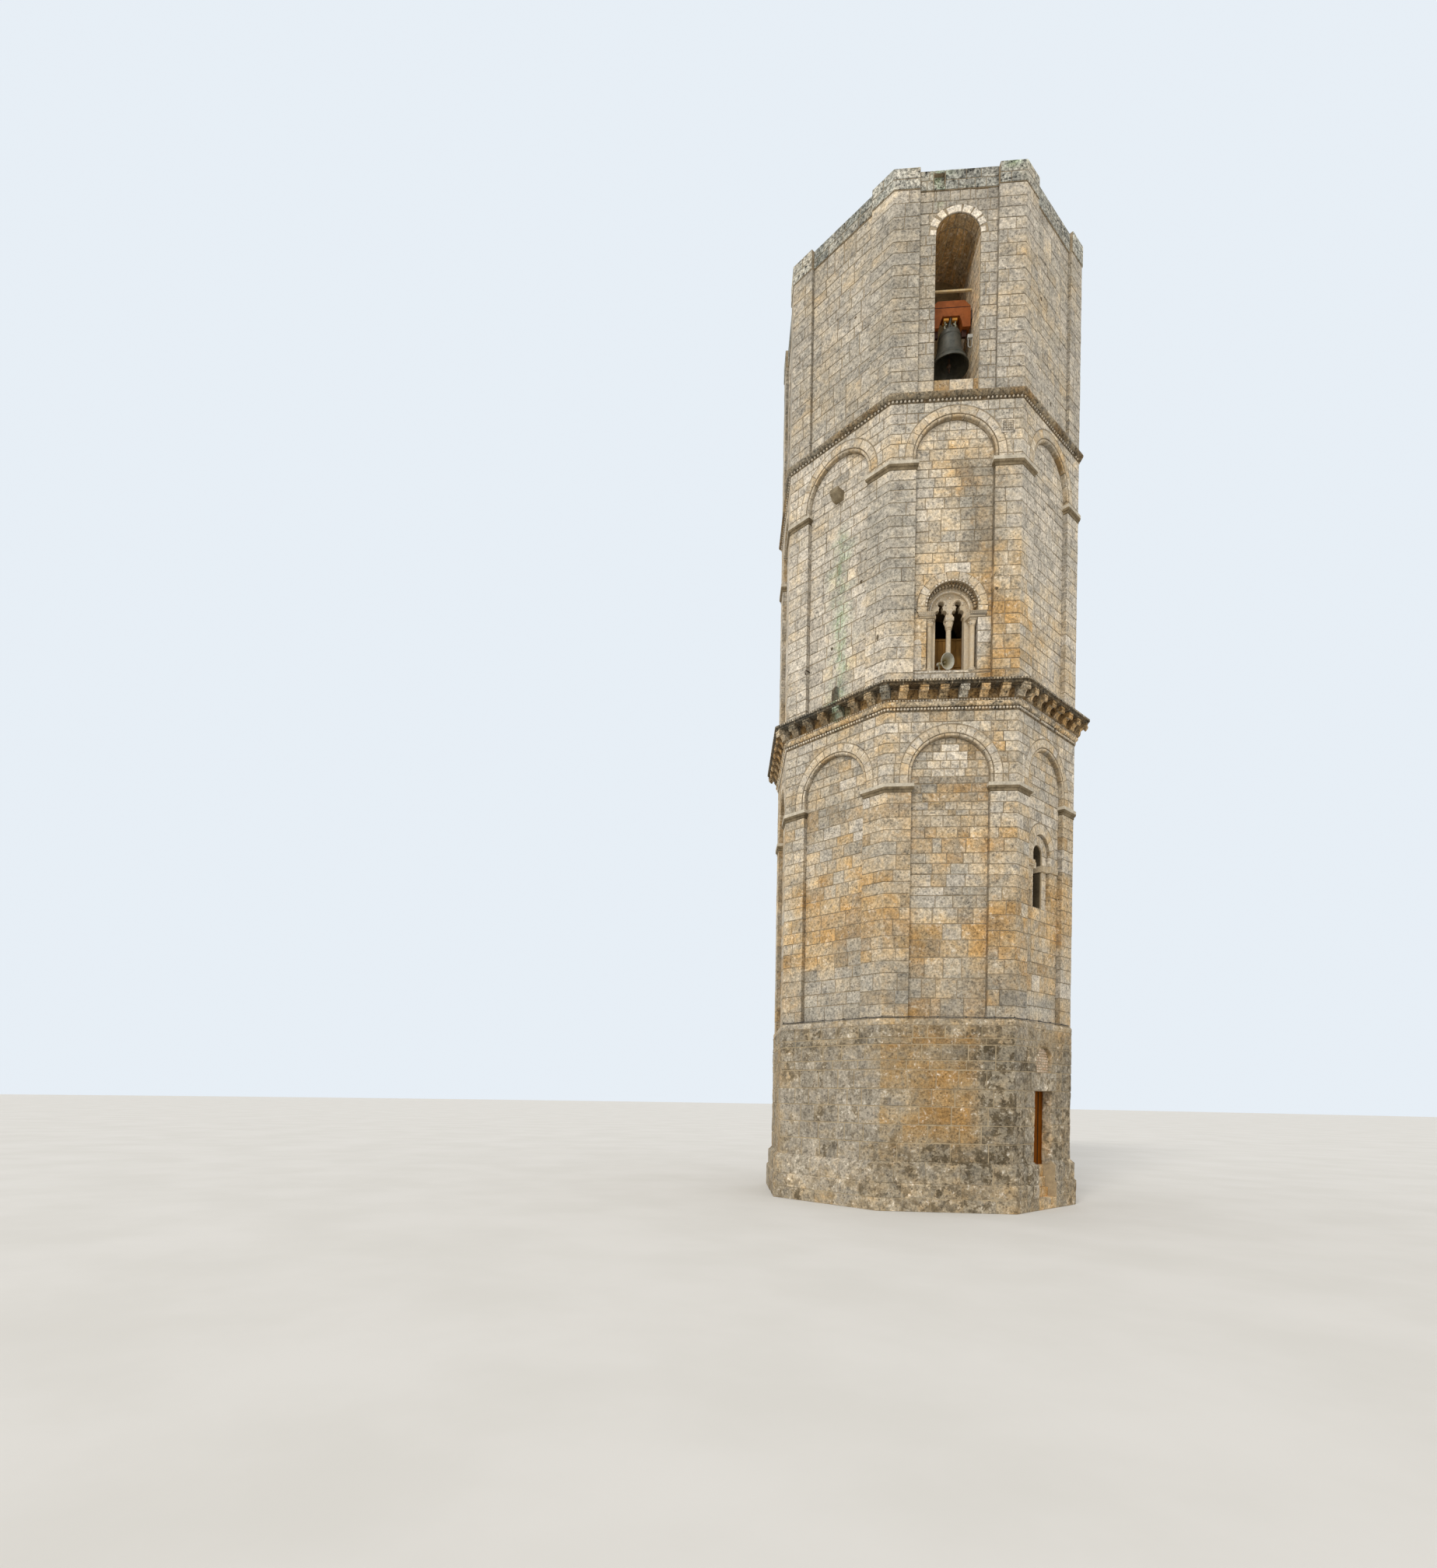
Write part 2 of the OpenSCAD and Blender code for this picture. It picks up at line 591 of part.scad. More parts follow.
// Column with a spreading base and a bell-shaped capital under a square abacus, from z0 to z1.
module column(r, z0, z1, capital_h, capital_r) translate([0, 0, z0]) {
    h = z1 - z0;
    abacus_h = capital_h * 0.3;
    rotate_extrude($fn = 32) polygon(concat([[0, 0], [r * 1.5, 0], [r * 1.5, r * 0.8]],
        arc([r * 1.15, r * 1.15], r * 0.35, -90, 90, 5), [[r, r * 1.7], [r, h - capital_h]],
        arc([r * 1.02, h - capital_h + r * 0.2], r * 0.2, -90, 90, 5),
        arc([capital_r, h - capital_h + r * 0.4], capital_r - r, 180, 115, 5),
        [[capital_r * 0.95, h - abacus_h], [0, h - abacus_h]]));
    translate([-capital_r, -capital_r, h - abacus_h]) cube([2 * capital_r, 2 * capital_r, abacus_h]);
}

module twin_window_columns() color(pale_stone) for (a = twin_faces) on_face(a) {
    frame_d = panel_d + twin_frame_d;
    translate([0, frame_d + twin_frame_t / 2, 0]) column(column_r, twin_sill, twin_impost_top, 290, twin_frame_t / 2);
    for (s = [-1, 1]) translate([s * (twin_r - jamb_column_r * 1.5 - 5), frame_d - jamb_column_r * 1.5 - seat_gap, 0])
        column(jamb_column_r, twin_sill, twin_impost_top - twin_impost_h, 180, jamb_column_r * 1.45);
}

// Plan of one impost: it runs from the panel over the jamb column to the light.
module twin_impost_plan(s, out) {
    frame_d = panel_d + twin_frame_d;
    polygon([[s * (twin_r + archivolt_w - 30 + out), panel_d], [s * (twin_r + archivolt_w - 30 + out), panel_d - out],
        [s * (lights_half + 60), panel_d - out], [s * (lights_half + 5), frame_d - out],
        [s * (lights_half + 5), frame_d], [s * (twin_r - seat_gap), frame_d], [s * (twin_r - seat_gap), panel_d]]);
}

module twin_window_imposts() color(pale_stone) for (a = twin_faces) on_face(a) for (s = [-1, 1])
    translate([0, 0, twin_impost_top - twin_impost_h]) {
        linear_extrude(twin_impost_h * 0.3) twin_impost_plan(s, 22);
        translate([0, 0, twin_impost_h * 0.3]) linear_extrude(twin_impost_h * 0.2) twin_impost_plan(s, 36);
        translate([0, 0, twin_impost_h * 0.5]) linear_extrude(twin_impost_h * 0.5) twin_impost_plan(s, 50);
    }

// Ring of the arch over the twin window, standing on the imposts.
module archivolts() color(pale_stone) for (a = twin_faces) on_face(a)
    through(panel_d - archivolt_out, panel_d) difference() {
        arch_shape(twin_r + archivolt_w, twin_impost_top, twin_spring);
        arch_shape(twin_r, twin_impost_top - 1, twin_spring);
    }

screen_d = panel_d + twin_frame_d + twin_frame_t + screen_set;

module wooden_screens() color("#5a4730") for (a = twin_faces) on_face(a)
    translate([seat_gap - twin_r, screen_d, twin_sill]) cube([2 * (twin_r - seat_gap), screen_t, screen_h]);

// Horn loudspeaker that leans forward on a foot beside the column, its mouth over the front of the sill.
horn_r = 190;
horn_l = 300;
horn_turn = 25;
horn_lean = 12;
horn_x = -205;
horn_d = 400;
horn_z = 290;

module horn_speaker() color("#b9bbb6") translate([horn_x, horn_d - apothem, twin_sill]) rotate([0, 0, horn_turn]) {
    translate([0, 0, horn_z]) rotate([90 + horn_lean, 0, 0]) rotate_extrude($fn = 48)
        polygon(concat([[0, -70], [42, -70], [48, -60], [48, 20], [24, 34], [24, 60]],
            arc([horn_r + 8, 60], horn_r - 16, 180, 116, 8), [[horn_r - 2, horn_l], [horn_r - 6, horn_l]],
            arc([horn_r + 8, 60], horn_r - 10, 116, 180, 8), [[0, 66]]));
    translate([-16, -12, 8]) cube([32, 30, horn_z - 46]);
    translate([-55, -40, 0]) cube([110, 90, 8.5]);
}

// Stone bracket that juts from the panel, with a sloping underside.
bracket_w = 240;
bracket_out = 280;
bracket_z = upper_impost_top - 80;

module stone_bracket() color(grey_stone) on_face(bracket_face) translate([-bracket_w / 2, panel_d, bracket_z])
    rotate([90, 0, 90]) linear_extrude(bracket_w)
        polygon([[0, 0], [-bracket_out * 0.55, 0], [-bracket_out, 130], [-bracket_out, 230], [0, 230]]);

module belfry_jambs() color(limestone) for (a = cardinal) on_face(a) for (s = [-1, 1])
    translate([0, 0, string_top]) linear_extrude(opening_spring - string_top)
        polygon([[s * opening_half, belfry_panel_d], [s * half(belfry_r), belfry_panel_d],
            [s * half(room_r), wall_t], [s * opening_half, wall_t]]);

module belfry_sills() color("#d8bf8e") for (a = cardinal) on_face(a)
    translate([-opening_half, belfry_panel_d, string_top])
        cube([2 * opening_half, wall_t - belfry_panel_d, opening_sill - string_top]);

module belfry_heads() color(limestone) for (a = cardinal) on_face(a) difference() {
    segment(room_r, belfry_r, opening_spring, walls_top);
    through(0, wall_t + 1) arch_shape(opening_half, opening_spring - 1, opening_spring);
}

// Parapet between the corner blocks, with a drain niche and its hole on the front.
niche_w = 260;
niche_h = 270;
niche_x = -600;
drain_r = 60;
parapet_set = 50;

module parapet() color(grey_stone) for (a = all_faces) on_face(a) {
    outer = parapet_set;
    run = side_w / 2 - pilaster_w;
    difference() {
        translate([-run, outer, walls_top]) cube([2 * run, parapet_t, parapet_h]);
        if (a == 0) translate([niche_x, outer - 1, walls_top + parapet_h - 60 - niche_h]) cube([niche_w, 91, niche_h]);
        if (a == 0) translate([niche_x + niche_w - 80, 0, walls_top + 100]) rotate([-90, 0, 0])
            cylinder(h = outer + parapet_t + 1, r = drain_r);
    }
}

module corner_blocks() color(grey_stone) for (a = all_faces) at_corner(a)
    corner_strip(apothem - parapet_t - parapet_set, apothem + 20, pilaster_w + 20 * half_turn - mortar, walls_top, walls_top + corner_block_h);

// The lowest floor lies on the filled-up ground inside the plinth.
module floors() color(grey_stone) {
    octagon(room_r - seat_gap, 0, threshold_h);
    for (z = [side_floor, twin_floor, string_top]) octagon(room_r - seat_gap, z - floor_t, z);
}

module roof_slab() color(grey_stone) octagon(room_r - seat_gap, walls_top - roof_t, walls_top);

// Bell section as shares of radius and height: outer line from mouth to crown, inner line back down.
bell_y = bell_d - apothem;
shoulder_z = pivot_z - shoulder_drop;
mouth_z = shoulder_z - bell_h;
pin_z = shoulder_z - 110;
pin_r = 14;
ear_gap = 34;
clapper_l = pin_z - mouth_z - ball_rise;
outer_line = [[1, 0], [0.985, 0.035], [0.93, 0.09], [0.905, 0.12], [0.915, 0.13], [0.895, 0.145], [0.905, 0.155],
    [0.88, 0.165], [0.80, 0.235], [0.715, 0.34], [0.65, 0.48], [0.605, 0.64], [0.58, 0.78], [0.59, 0.79],
    [0.575, 0.80], [0.585, 0.81], [0.57, 0.82], [0.56, 0.90], [0.52, 0.96], [0.44, 0.995], [0.30, 1.01], [0, 1.01]];
inner_line = [[0, 0.955], [0.40, 0.955], [0.49, 0.90], [0.51, 0.80], [0.535, 0.64], [0.575, 0.48], [0.635, 0.34],
    [0.70, 0.22], [0.77, 0.13], [0.90, 0.03], [0.95, 0]];

// Headstock: a steel beam in the shape of an inverted U, that the bell's crown hangs from.
stock_top = 325;
stock_foot = 330;
stock_seam = 150;
cavity_top = pivot_z - 50;
loop_r = 80;
strap_r = 11;

// One loop of the crown, standing on the shoulder, with the bolt that holds it to the headstock.
module crown_loop() {
    translate([0, 17, 0]) rotate([90, 0, 0]) linear_extrude(34) intersection() {
        translate([loop_r, 60]) difference() {
            circle(loop_r);
            circle(loop_r - 32);
        }
        translate([30, 0]) square([loop_r * 2, 200]);
    }
    translate([loop_r, 0, 60 + loop_r - 16]) cylinder(h = cavity_top - shoulder_z - 60 - loop_r + 16, r = strap_r);
}

module bell() color("#6f7568") translate([0, bell_y, 0]) {
    translate([0, 0, mouth_z]) rotate_extrude()
        polygon([for (p = concat(outer_line, inner_line)) [p[0] * bell_r, p[1] * bell_h]]);
    translate([0, 0, shoulder_z]) cylinder(h = cavity_top - shoulder_z, r = 42);
    for (a = [0, 90, 180, 270]) rotate([0, 0, a]) translate([0, 0, shoulder_z]) crown_loop();
    for (s = [-1, 1]) translate([s * (ear_gap + 8) - 8, -25, pin_z - 25]) cube([16, 50, 120]);
    translate([-ear_gap - 1, 0, pin_z]) rotate([0, 90, 0]) cylinder(h = 2 * ear_gap + 2, r = pin_r);
}

gudgeon_clear = 2;
hanger_w = 115;
hanger_t = 60;
hanger_h = 170;

module headstock() color("#b5532f") translate([0, bell_y, pivot_z]) {
    half_run = headstock_half;
    cavity = cavity_top - pivot_z;
    difference() {
        translate([0, headstock_t / 2, 0]) rotate([90, 0, 0]) linear_extrude(headstock_t)
            polygon([[-half_run, -stock_foot], [-half_run, stock_top - 150], [-half_run + 22, stock_top - 125],
                [-half_run + 150, stock_top], [half_run - 150, stock_top], [half_run - 22, stock_top - 125],
                [half_run, stock_top - 150], [half_run, -stock_foot], [half_run - 185, -stock_foot],
                [half_run - 215, -180], [half_run - 265, cavity], [265 - half_run, cavity],
                [215 - half_run, -180], [185 - half_run, -stock_foot]]);
        for (s = [0, 1]) mirror([0, s, 0]) translate([-far / 2, headstock_t / 2 - 6, stock_seam]) cube([far, 10, 8]);
    }
    for (s = [0, 1]) mirror([s, 0, 0]) {
        translate([half_run - 185, -hanger_t / 2, -stock_foot - hanger_h]) cube([hanger_w, hanger_t, hanger_h + 1]);
        translate([half_run - 1, 0, 0]) rotate([0, 90, 0]) cylinder(h = headstock_side + 1 - gudgeon_clear, r = gudgeon_r);
    }
}

module clapper() color("#5d4034") translate([0, bell_y, pin_z]) {
    eye_w = 2 * ear_gap - 12;
    difference() {
        union() {
            translate([-eye_w / 2, 0, 0]) rotate([0, 90, 0]) cylinder(h = eye_w, r = 34);
            translate([0, 0, -clapper_l - 150]) cylinder(h = clapper_l + 130, r = 20);
            translate([0, 0, -clapper_l]) sphere(clapper_ball_r, $fn = 48);
        }
        translate([-eye_w, 0, 0]) rotate([0, 90, 0]) cylinder(h = 2 * eye_w, r = pin_r + hinge_clear);
    }
}

// Bearing plates on the two sides of the opening that the pivots turn in.
bearing_clear = 12;

module bell_bearings() color("#4a4744") for (s = [0, 1]) mirror([s, 0, 0])
    translate([headstock_half + bearing_clear, bell_y, pivot_z]) rotate([0, 90, 0]) difference() {
        translate([-90, -100, 0]) cube([220, 200, headstock_side - bearing_clear]);
        translate([0, 0, -1]) cylinder(h = opening_half, r = gudgeon_r + hinge_clear);
    }

module cross_bar() color("#c9b98a") translate([-opening_half, bell_y - bar_t / 2, pivot_z + bar_rise])
    cube([2 * opening_half, bar_t, bar_t]);

// Junction box on the right side of the opening, with the loop of cable that hangs from it.
box_w = 130;
box_h = 80;
box_z = pivot_z - 640;
cable_r = 9;
cable_bend = 46;
cable_drop = 170;

module cable_box() color("#cfd0cb") translate([opening_half - box_w, bell_y - 160, box_z]) {
    cube([box_w, 70, box_h]);
    translate([box_w / 2, 35, 0]) {
        for (s = [-1, 1]) translate([s * cable_bend, 0, -cable_drop]) cylinder(h = cable_drop + 1, r = cable_r, $fn = 24);
        translate([0, 0, -cable_drop]) rotate([90, 180, 0]) rotate_extrude(angle = 180) translate([cable_bend, 0])
            circle(cable_r, $fn = 24);
    }
}

plinth();
base_walls();
door_jambs();
door_wall_sides();
door_head();
door_lintel();
lunette_infill();
door_steps();
wide_door_leaf();
narrow_door_leaf();
door_pintles();
string_courses();
storey_walls();
side_window_walls();
side_window_frames();
side_window_imposts();
corner_pilasters();
imposts();
spandrels();
arch_rolls();
torus_course();
corbel_course();
corner_corbels();
cornice();
twin_window_walls();
twin_window_frames();
twin_window_columns();
twin_window_imposts();
archivolts();
wooden_screens();
horn_speaker();
stone_bracket();
belfry_jambs();
belfry_sills();
belfry_heads();
parapet();
corner_blocks();
floors();
roof_slab();
bell();
headstock();
clapper();
bell_bearings();
cross_bar();
cable_box();
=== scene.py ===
import random
import bmesh
import bpy
from math import atan2, copysign, cos, degrees, dist, hypot, pi, radians, sin, sqrt, tan
from mathutils import Matrix, Vector, noise


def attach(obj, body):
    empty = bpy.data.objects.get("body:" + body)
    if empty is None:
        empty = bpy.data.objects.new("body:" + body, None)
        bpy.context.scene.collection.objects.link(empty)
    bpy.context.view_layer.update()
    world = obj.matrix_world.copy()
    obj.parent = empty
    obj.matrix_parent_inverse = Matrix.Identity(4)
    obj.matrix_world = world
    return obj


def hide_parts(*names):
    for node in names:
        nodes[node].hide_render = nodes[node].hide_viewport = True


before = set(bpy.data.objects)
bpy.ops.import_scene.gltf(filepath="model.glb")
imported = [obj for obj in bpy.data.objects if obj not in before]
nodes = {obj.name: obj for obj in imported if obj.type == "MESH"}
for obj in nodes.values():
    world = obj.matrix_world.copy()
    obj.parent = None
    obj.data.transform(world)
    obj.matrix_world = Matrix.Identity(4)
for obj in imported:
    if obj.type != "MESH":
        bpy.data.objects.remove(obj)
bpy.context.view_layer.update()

apothem = 3.71789  # from the axis to a pilaster face, in metres
tangent = tan(radians(22.5))
halfSide = apothem * tangent
faces = [0, 45, 90, 135, 180, 225, 270, 315]  # 0 looks at the viewer, 45 holds the door
cardinals = [0, 90, 180, 270]
twinFaces, sideFaces = (0, 180), (45, 225)
# heights in metres: tops of the storeys, sills of the windows, centres of the arches
baseTop, corniceTop, stringTop, wallsTop = 4.61, 12.60, 19.61, 24.5
sideSill, twinSill, bellSill = 7.48, 13.00, 19.95
lunetteSpring, sideSpring, lowerSpring, twinSpring, upperSpring, bellSpring = 3.61, 8.87, 10.45, 14.53, 18.08, 23.45
# the panels behind the pilasters, the arches over them and their round moulding
panelDepth, bellPanelDepth, panelHalf, panelArch = 0.12, 0.08, 0.917, 0.922
ringInner, rollReach, rollRadius = 1.006, 0.9637, 0.036
arrisFolds = (-0.013, 0.013)  # where a corner stone bends
noTone = (0, 0, 1)  # for pieces whose finish takes no stone tone


# shader maths
class Value:  # one output socket, used in plain expressions
    def __init__(self, finish, socket):
        self.finish, self.socket = finish, socket

    def sum(self, operation, a, b=None):
        return self.finish.node("ShaderNodeMath", {"operation": operation}, {0: a} if b is None else {0: a, 1: b})

    def __add__(self, other): return self.sum("ADD", self, other)
    def __radd__(self, other): return self.sum("ADD", other, self)
    def __sub__(self, other): return self.sum("SUBTRACT", self, other)
    def __rsub__(self, other): return self.sum("SUBTRACT", other, self)
    def __mul__(self, other): return self.sum("MULTIPLY", self, other)
    def __rmul__(self, other): return self.sum("MULTIPLY", other, self)

    def ramp(self, low, high):  # 0 below low, 1 above high, smooth between them
        settings = {"interpolation_type": "SMOOTHSTEP"}
        return self.finish.node("ShaderNodeMapRange", settings, {"Value": self, "From Min": low, "From Max": high})

    def clamp(self):
        return self.finish.node("ShaderNodeClamp", {}, {"Value": self})


class Finish:  # a material that is built node by node
    def __init__(self, name):
        self.material = bpy.data.materials.new(name)
        self.material.use_nodes = True
        self.tree = self.material.node_tree
        self.tree.nodes.clear()
        self.place = self.node("ShaderNodeTexCoord", out="Object")

    def node(self, kind, settings=None, sockets=None, out=0):
        made = self.tree.nodes.new(kind)
        for key, value in (settings or {}).items():
            if key == "stops":
                for i, (position, colour) in enumerate(value):
                    stop = made.color_ramp.elements[i] if i < 2 else made.color_ramp.elements.new(position)
                    stop.position, stop.color = position, (*colour, 1)
            else:
                setattr(made, key, value)
        for key, value in (sockets or {}).items():
            if isinstance(value, Value):
                self.tree.links.new(value.socket, made.inputs[key])
            else:
                made.inputs[key].default_value = (*value, 1) if made.inputs[key].type == "RGBA" else value
        return None if out is None else Value(self, made.outputs[out])

    def noise(self, scale, detail=4.0, rough=0.55, stretch=None, twist=0.0):
        where = self.place
        if stretch:
            where = self.node("ShaderNodeVectorMath", {"operation": "MULTIPLY"}, {0: where, 1: stretch})
        sockets = {"Vector": where, "Scale": scale, "Detail": detail, "Roughness": rough, "Distortion": twist}
        return self.node("ShaderNodeTexNoise", {}, sockets)

    def cells(self, scale):
        return self.node("ShaderNodeTexVoronoi", {"feature": "F1"}, {"Vector": self.place, "Scale": scale},
                         "Distance")

    def dot(self, first, second):
        return self.node("ShaderNodeVectorMath", {"operation": "DOT_PRODUCT"}, {0: first, 1: second}, "Value")

    def height(self):
        return self.node("ShaderNodeSeparateXYZ", {}, {0: self.place}, "Z")

    def stored(self, name, out="Fac"):  # a value that the mesh carries at its points
        return self.node("ShaderNodeAttribute", {"attribute_name": name}, out=out)

    def mix(self, factor, first, second, blend="MIX"):
        settings = {"data_type": "RGBA", "blend_type": blend}
        return self.node("ShaderNodeMix", settings, {0: factor, 6: first, 7: second}, 2)

    def ramp(self, value, stops):
        return self.node("ShaderNodeValToRGB", {"stops": stops}, {"Fac": value}, "Color")

    def grey(self, value):  # a number as a grey colour, for mixing with other colours
        return self.node("ShaderNodeCombineColor", {}, {"Red": value, "Green": value, "Blue": value})

    def bump(self, height, strength, distance):
        return self.node("ShaderNodeBump", {}, {"Height": height, "Strength": strength, "Distance": distance},
                         "Normal")

    def close(self, colour, roughness, normal=None, metallic=0.0, **extra):
        shine = 0.25 if metallic == 0.0 else 0.5
        sockets = {"Base Color": colour, "Roughness": roughness, "Metallic": metallic, "Specular IOR Level": shine,
                   **extra}
        if normal:
            sockets["Normal"] = normal
        shader = self.node("ShaderNodeBsdfPrincipled", {}, sockets)
        self.node("ShaderNodeOutputMaterial", {"is_active_output": True}, {"Surface": shader}, None)
        return self.material


def stoneFinish(name, look):  # takes each stone's own tone from the mesh: x ochre, y grey, z brightness
    made = Finish(name)
    tone = made.stored("stone", "Vector")
    ochre, grey, bright = (made.node("ShaderNodeSeparateXYZ", {}, {0: tone}, part) for part in "XYZ")
    rim = made.stored("rim")
    broad, patch = made.noise(0.8, 5, 0.6), made.noise(2.6, 6, 0.62, twist=0.5)
    mottle = made.noise(6.5, 7, 0.66, twist=0.3)
    blotch, grain = made.noise(17, 6, 0.7), made.noise(48, 5, 0.75)
    streaks = made.noise(3.1, 7, 0.64, (1, 1, 0.13))
    warm = ochre + (broad - 0.5) * 1.1 + (patch - 0.5) * look["patches"] + (mottle - 0.5) * 0.9
    colour = made.ramp(warm.clamp(), look["stops"])
    dull = grey + (patch - 0.5) * -0.9 + (mottle - 0.5) * 0.8 + (streaks - 0.5) * look["streaks"]
    colour = made.mix(dull.clamp() * 0.88, colour, look["grey"])
    pale = mottle.ramp(0.54, 0.66) * blotch.ramp(0.42, 0.58) * look["pale"]
    colour = made.mix(pale, colour, look["paleColour"])
    orange = made.noise(4.3, 8, 0.7, twist=0.6).ramp(0.54, 0.68) * (ochre + 0.15).clamp() * look["orange"]
    colour = made.mix(orange.clamp(), colour, look["orangeColour"])
    wash = (made.stored("moss") * (streaks.ramp(0.36, 0.56) * 0.5 + mottle.ramp(0.40, 0.56) * 0.6)).clamp()
    green = made.mix(mottle.ramp(0.50, 0.60), (0.430, 0.510, 0.380), (0.215, 0.280, 0.150))
    colour = made.mix(wash * 0.92, colour, green)
    low = look["crustFrom"]
    crusted = (grey + 0.15 + (patch - 0.5) * 2).clamp()
    crust = made.noise(look["crust"], 9, 0.72, twist=0.2).ramp(low, low + 0.08) * crusted * look["crusts"]
    colour = made.mix(crust.clamp(), colour, look["crustColour"])
    pits = (1 - made.cells(look["specks"]).ramp(0.08, 0.32)) * blotch.ramp(0.45, 0.56) * look["pits"]
    # rim darkens stone edges as dark joints, and on the arch rolls their flanks as painted shade of the recess
    edge = rim * patch.ramp(0.32, 0.56) * look["rim"]
    relative = (patch - 0.5) * 0.6 + (mottle - 0.5) * 0.9 + (blotch - 0.5) * look["wear"] + (grain - 0.5) * 0.6
    shade = bright * (1 + relative * look["contrast"])
    shade = shade * (1 - pits.clamp() * 0.5) * (1 - edge)
    colour = made.mix(1.0, colour, made.grey(shade), "MULTIPLY")
    relief = mottle * 0.4 + blotch * 0.4 + grain * 0.3 - pits * 0.7 - crust * 0.15
    return made.close(colour, 0.84 + grain * 0.12, made.bump(relief, look["bump"], 0.014))


limeLook = {"stops": [(0.0, (0.600, 0.540, 0.450)), (0.35, (0.580, 0.480, 0.340)), (0.70, (0.550, 0.395, 0.215)),
                      (1.0, (0.480, 0.295, 0.120))], "grey": (0.395, 0.368, 0.310), "patches": 1.2, "streaks": 0.7,
            "specks": 11, "crust": 6.5, "crustFrom": 0.53, "crusts": 0.7, "crustColour": (0.235, 0.205, 0.150),
            "pale": 0.55, "paleColour": (0.690, 0.640, 0.550), "orange": 0.5, "orangeColour": (0.520, 0.315, 0.125),
            "pits": 1.2, "rim": 0.42, "contrast": 1.9, "wear": 1.55, "bump": 0.9}
roughLook = {**limeLook, "stops": [(0.0, (0.520, 0.460, 0.370)), (0.35, (0.500, 0.400, 0.265)),
                                   (0.70, (0.490, 0.335, 0.165)), (1.0, (0.430, 0.250, 0.090))],
             "grey": (0.345, 0.300, 0.220), "patches": 1.5, "streaks": 0.9, "specks": 9, "crust": 5.2,
             "crustFrom": 0.480, "crusts": 1.0, "crustColour": (0.150, 0.115, 0.068), "pale": 0.8, "pits": 1.1,
             "rim": -0.13, "contrast": 1.7, "wear": 1.4, "bump": 1.0}
mouldLook = {**limeLook, "grey": (0.255, 0.240, 0.190), "crusts": 0.9, "crustColour": (0.130, 0.122, 0.085),
             "streaks": 0.9, "pale": 0.45, "rim": 0.45, "contrast": 2.1, "wear": 2.3}
paleLook = {**limeLook, "pale": 0.7, "crusts": 0.35, "rim": 0.45, "orange": 0.45, "contrast": 1.5, "wear": 1.4}
parapetLook = {**limeLook, "grey": (0.300, 0.312, 0.280), "crusts": 1.0, "crustColour": (0.110, 0.112, 0.088),
               "stops": [(0.0, (0.520, 0.490, 0.420)), (0.5, (0.470, 0.410, 0.310)), (1.0, (0.330, 0.260, 0.160))],
               "streaks": 1.3, "contrast": 2.5, "wear": 2.4}
limestone = stoneFinish("weatheredLimestone", limeLook)
roughStone = stoneFinish("roughBaseStone", roughLook)
mouldStone = stoneFinish("mouldedStone", mouldLook)
paleStone = stoneFinish("paleDressedStone", paleLook)
parapetStone = stoneFinish("lichenedParapetStone", parapetLook)


def plainStone(name, colour, second, dark, scale=5.0, lining=None, foot=None, fillet=None, deep=None):
    # for the mortar plane and carved nodes, which carry no stone tones
    made = Finish(name)
    mottle, grain = made.noise(scale, 8, 0.68, twist=0.3), made.noise(46, 5, 0.75)
    blotch = made.noise(15, 6, 0.7)
    streaks = made.noise(3.0, 7, 0.62, (1, 1, 0.14))
    mixed = made.mix(mottle.ramp(0.40, 0.62), colour, second)
    mixed = made.mix(streaks.ramp(0.50, 0.68) * 0.75, mixed, dark)
    z = made.height()
    if lining:  # inside the walls: a pale lime wash in the bell storey, made paler as painted light for the dim room, and dark brown below it as painted shade
        across = made.node("ShaderNodeVectorMath", {"operation": "MULTIPLY"}, {0: made.place, 1: (1, 1, 0)})
        away = made.node("ShaderNodeVectorMath", {"operation": "LENGTH"}, {0: across}, "Value")
        mixed = made.mix(1 - z.ramp(4.40, 4.46), mixed, foot)
        mixed = made.mix((1 - away.ramp(3.10, 3.26)) * z.ramp(19.3, 19.5), mixed, lining)
        mixed = made.mix((1 - away.ramp(3.10, 3.40)) * (1 - z.ramp(19.3, 19.5)), mixed, (0.260, 0.170, 0.080))
    if deep:  # painted shade on the deep reveals of a small light, by their distance from the axis on the diagonal
        across = made.dot(made.place, (0.7071, -0.7071, 0))
        away = across * across
        mixed = made.mix(1 - away.ramp(3.460 ** 2, 3.495 ** 2), mixed, deep)
    if fillet:  # the upper third of both rows of imposts, a pale fillet; below it the impost's dark colour is painted shade of its hollow
        band = z.ramp(17.895, 17.905) + z.ramp(10.155, 10.165) * (1 - z.ramp(10.5, 10.6))
        mixed = made.mix(band * (0.45 + mottle * 0.8).clamp(), mixed, fillet)
    specks = (1 - made.cells(14).ramp(0.05, 0.22)) * blotch.ramp(0.46, 0.6)
    shade = (1 + (mottle - 0.5) * 0.8 + (blotch - 0.5) * 0.8 + (grain - 0.5) * 0.5) * (1 - specks * 0.45)
    mixed = made.mix(1.0, mixed, made.grey(shade), "MULTIPLY")
    return made.close(mixed, 0.88, made.bump(mottle * 0.4 + blotch * 0.4 + grain * 0.3 - specks * 0.6, 0.7, 0.014))


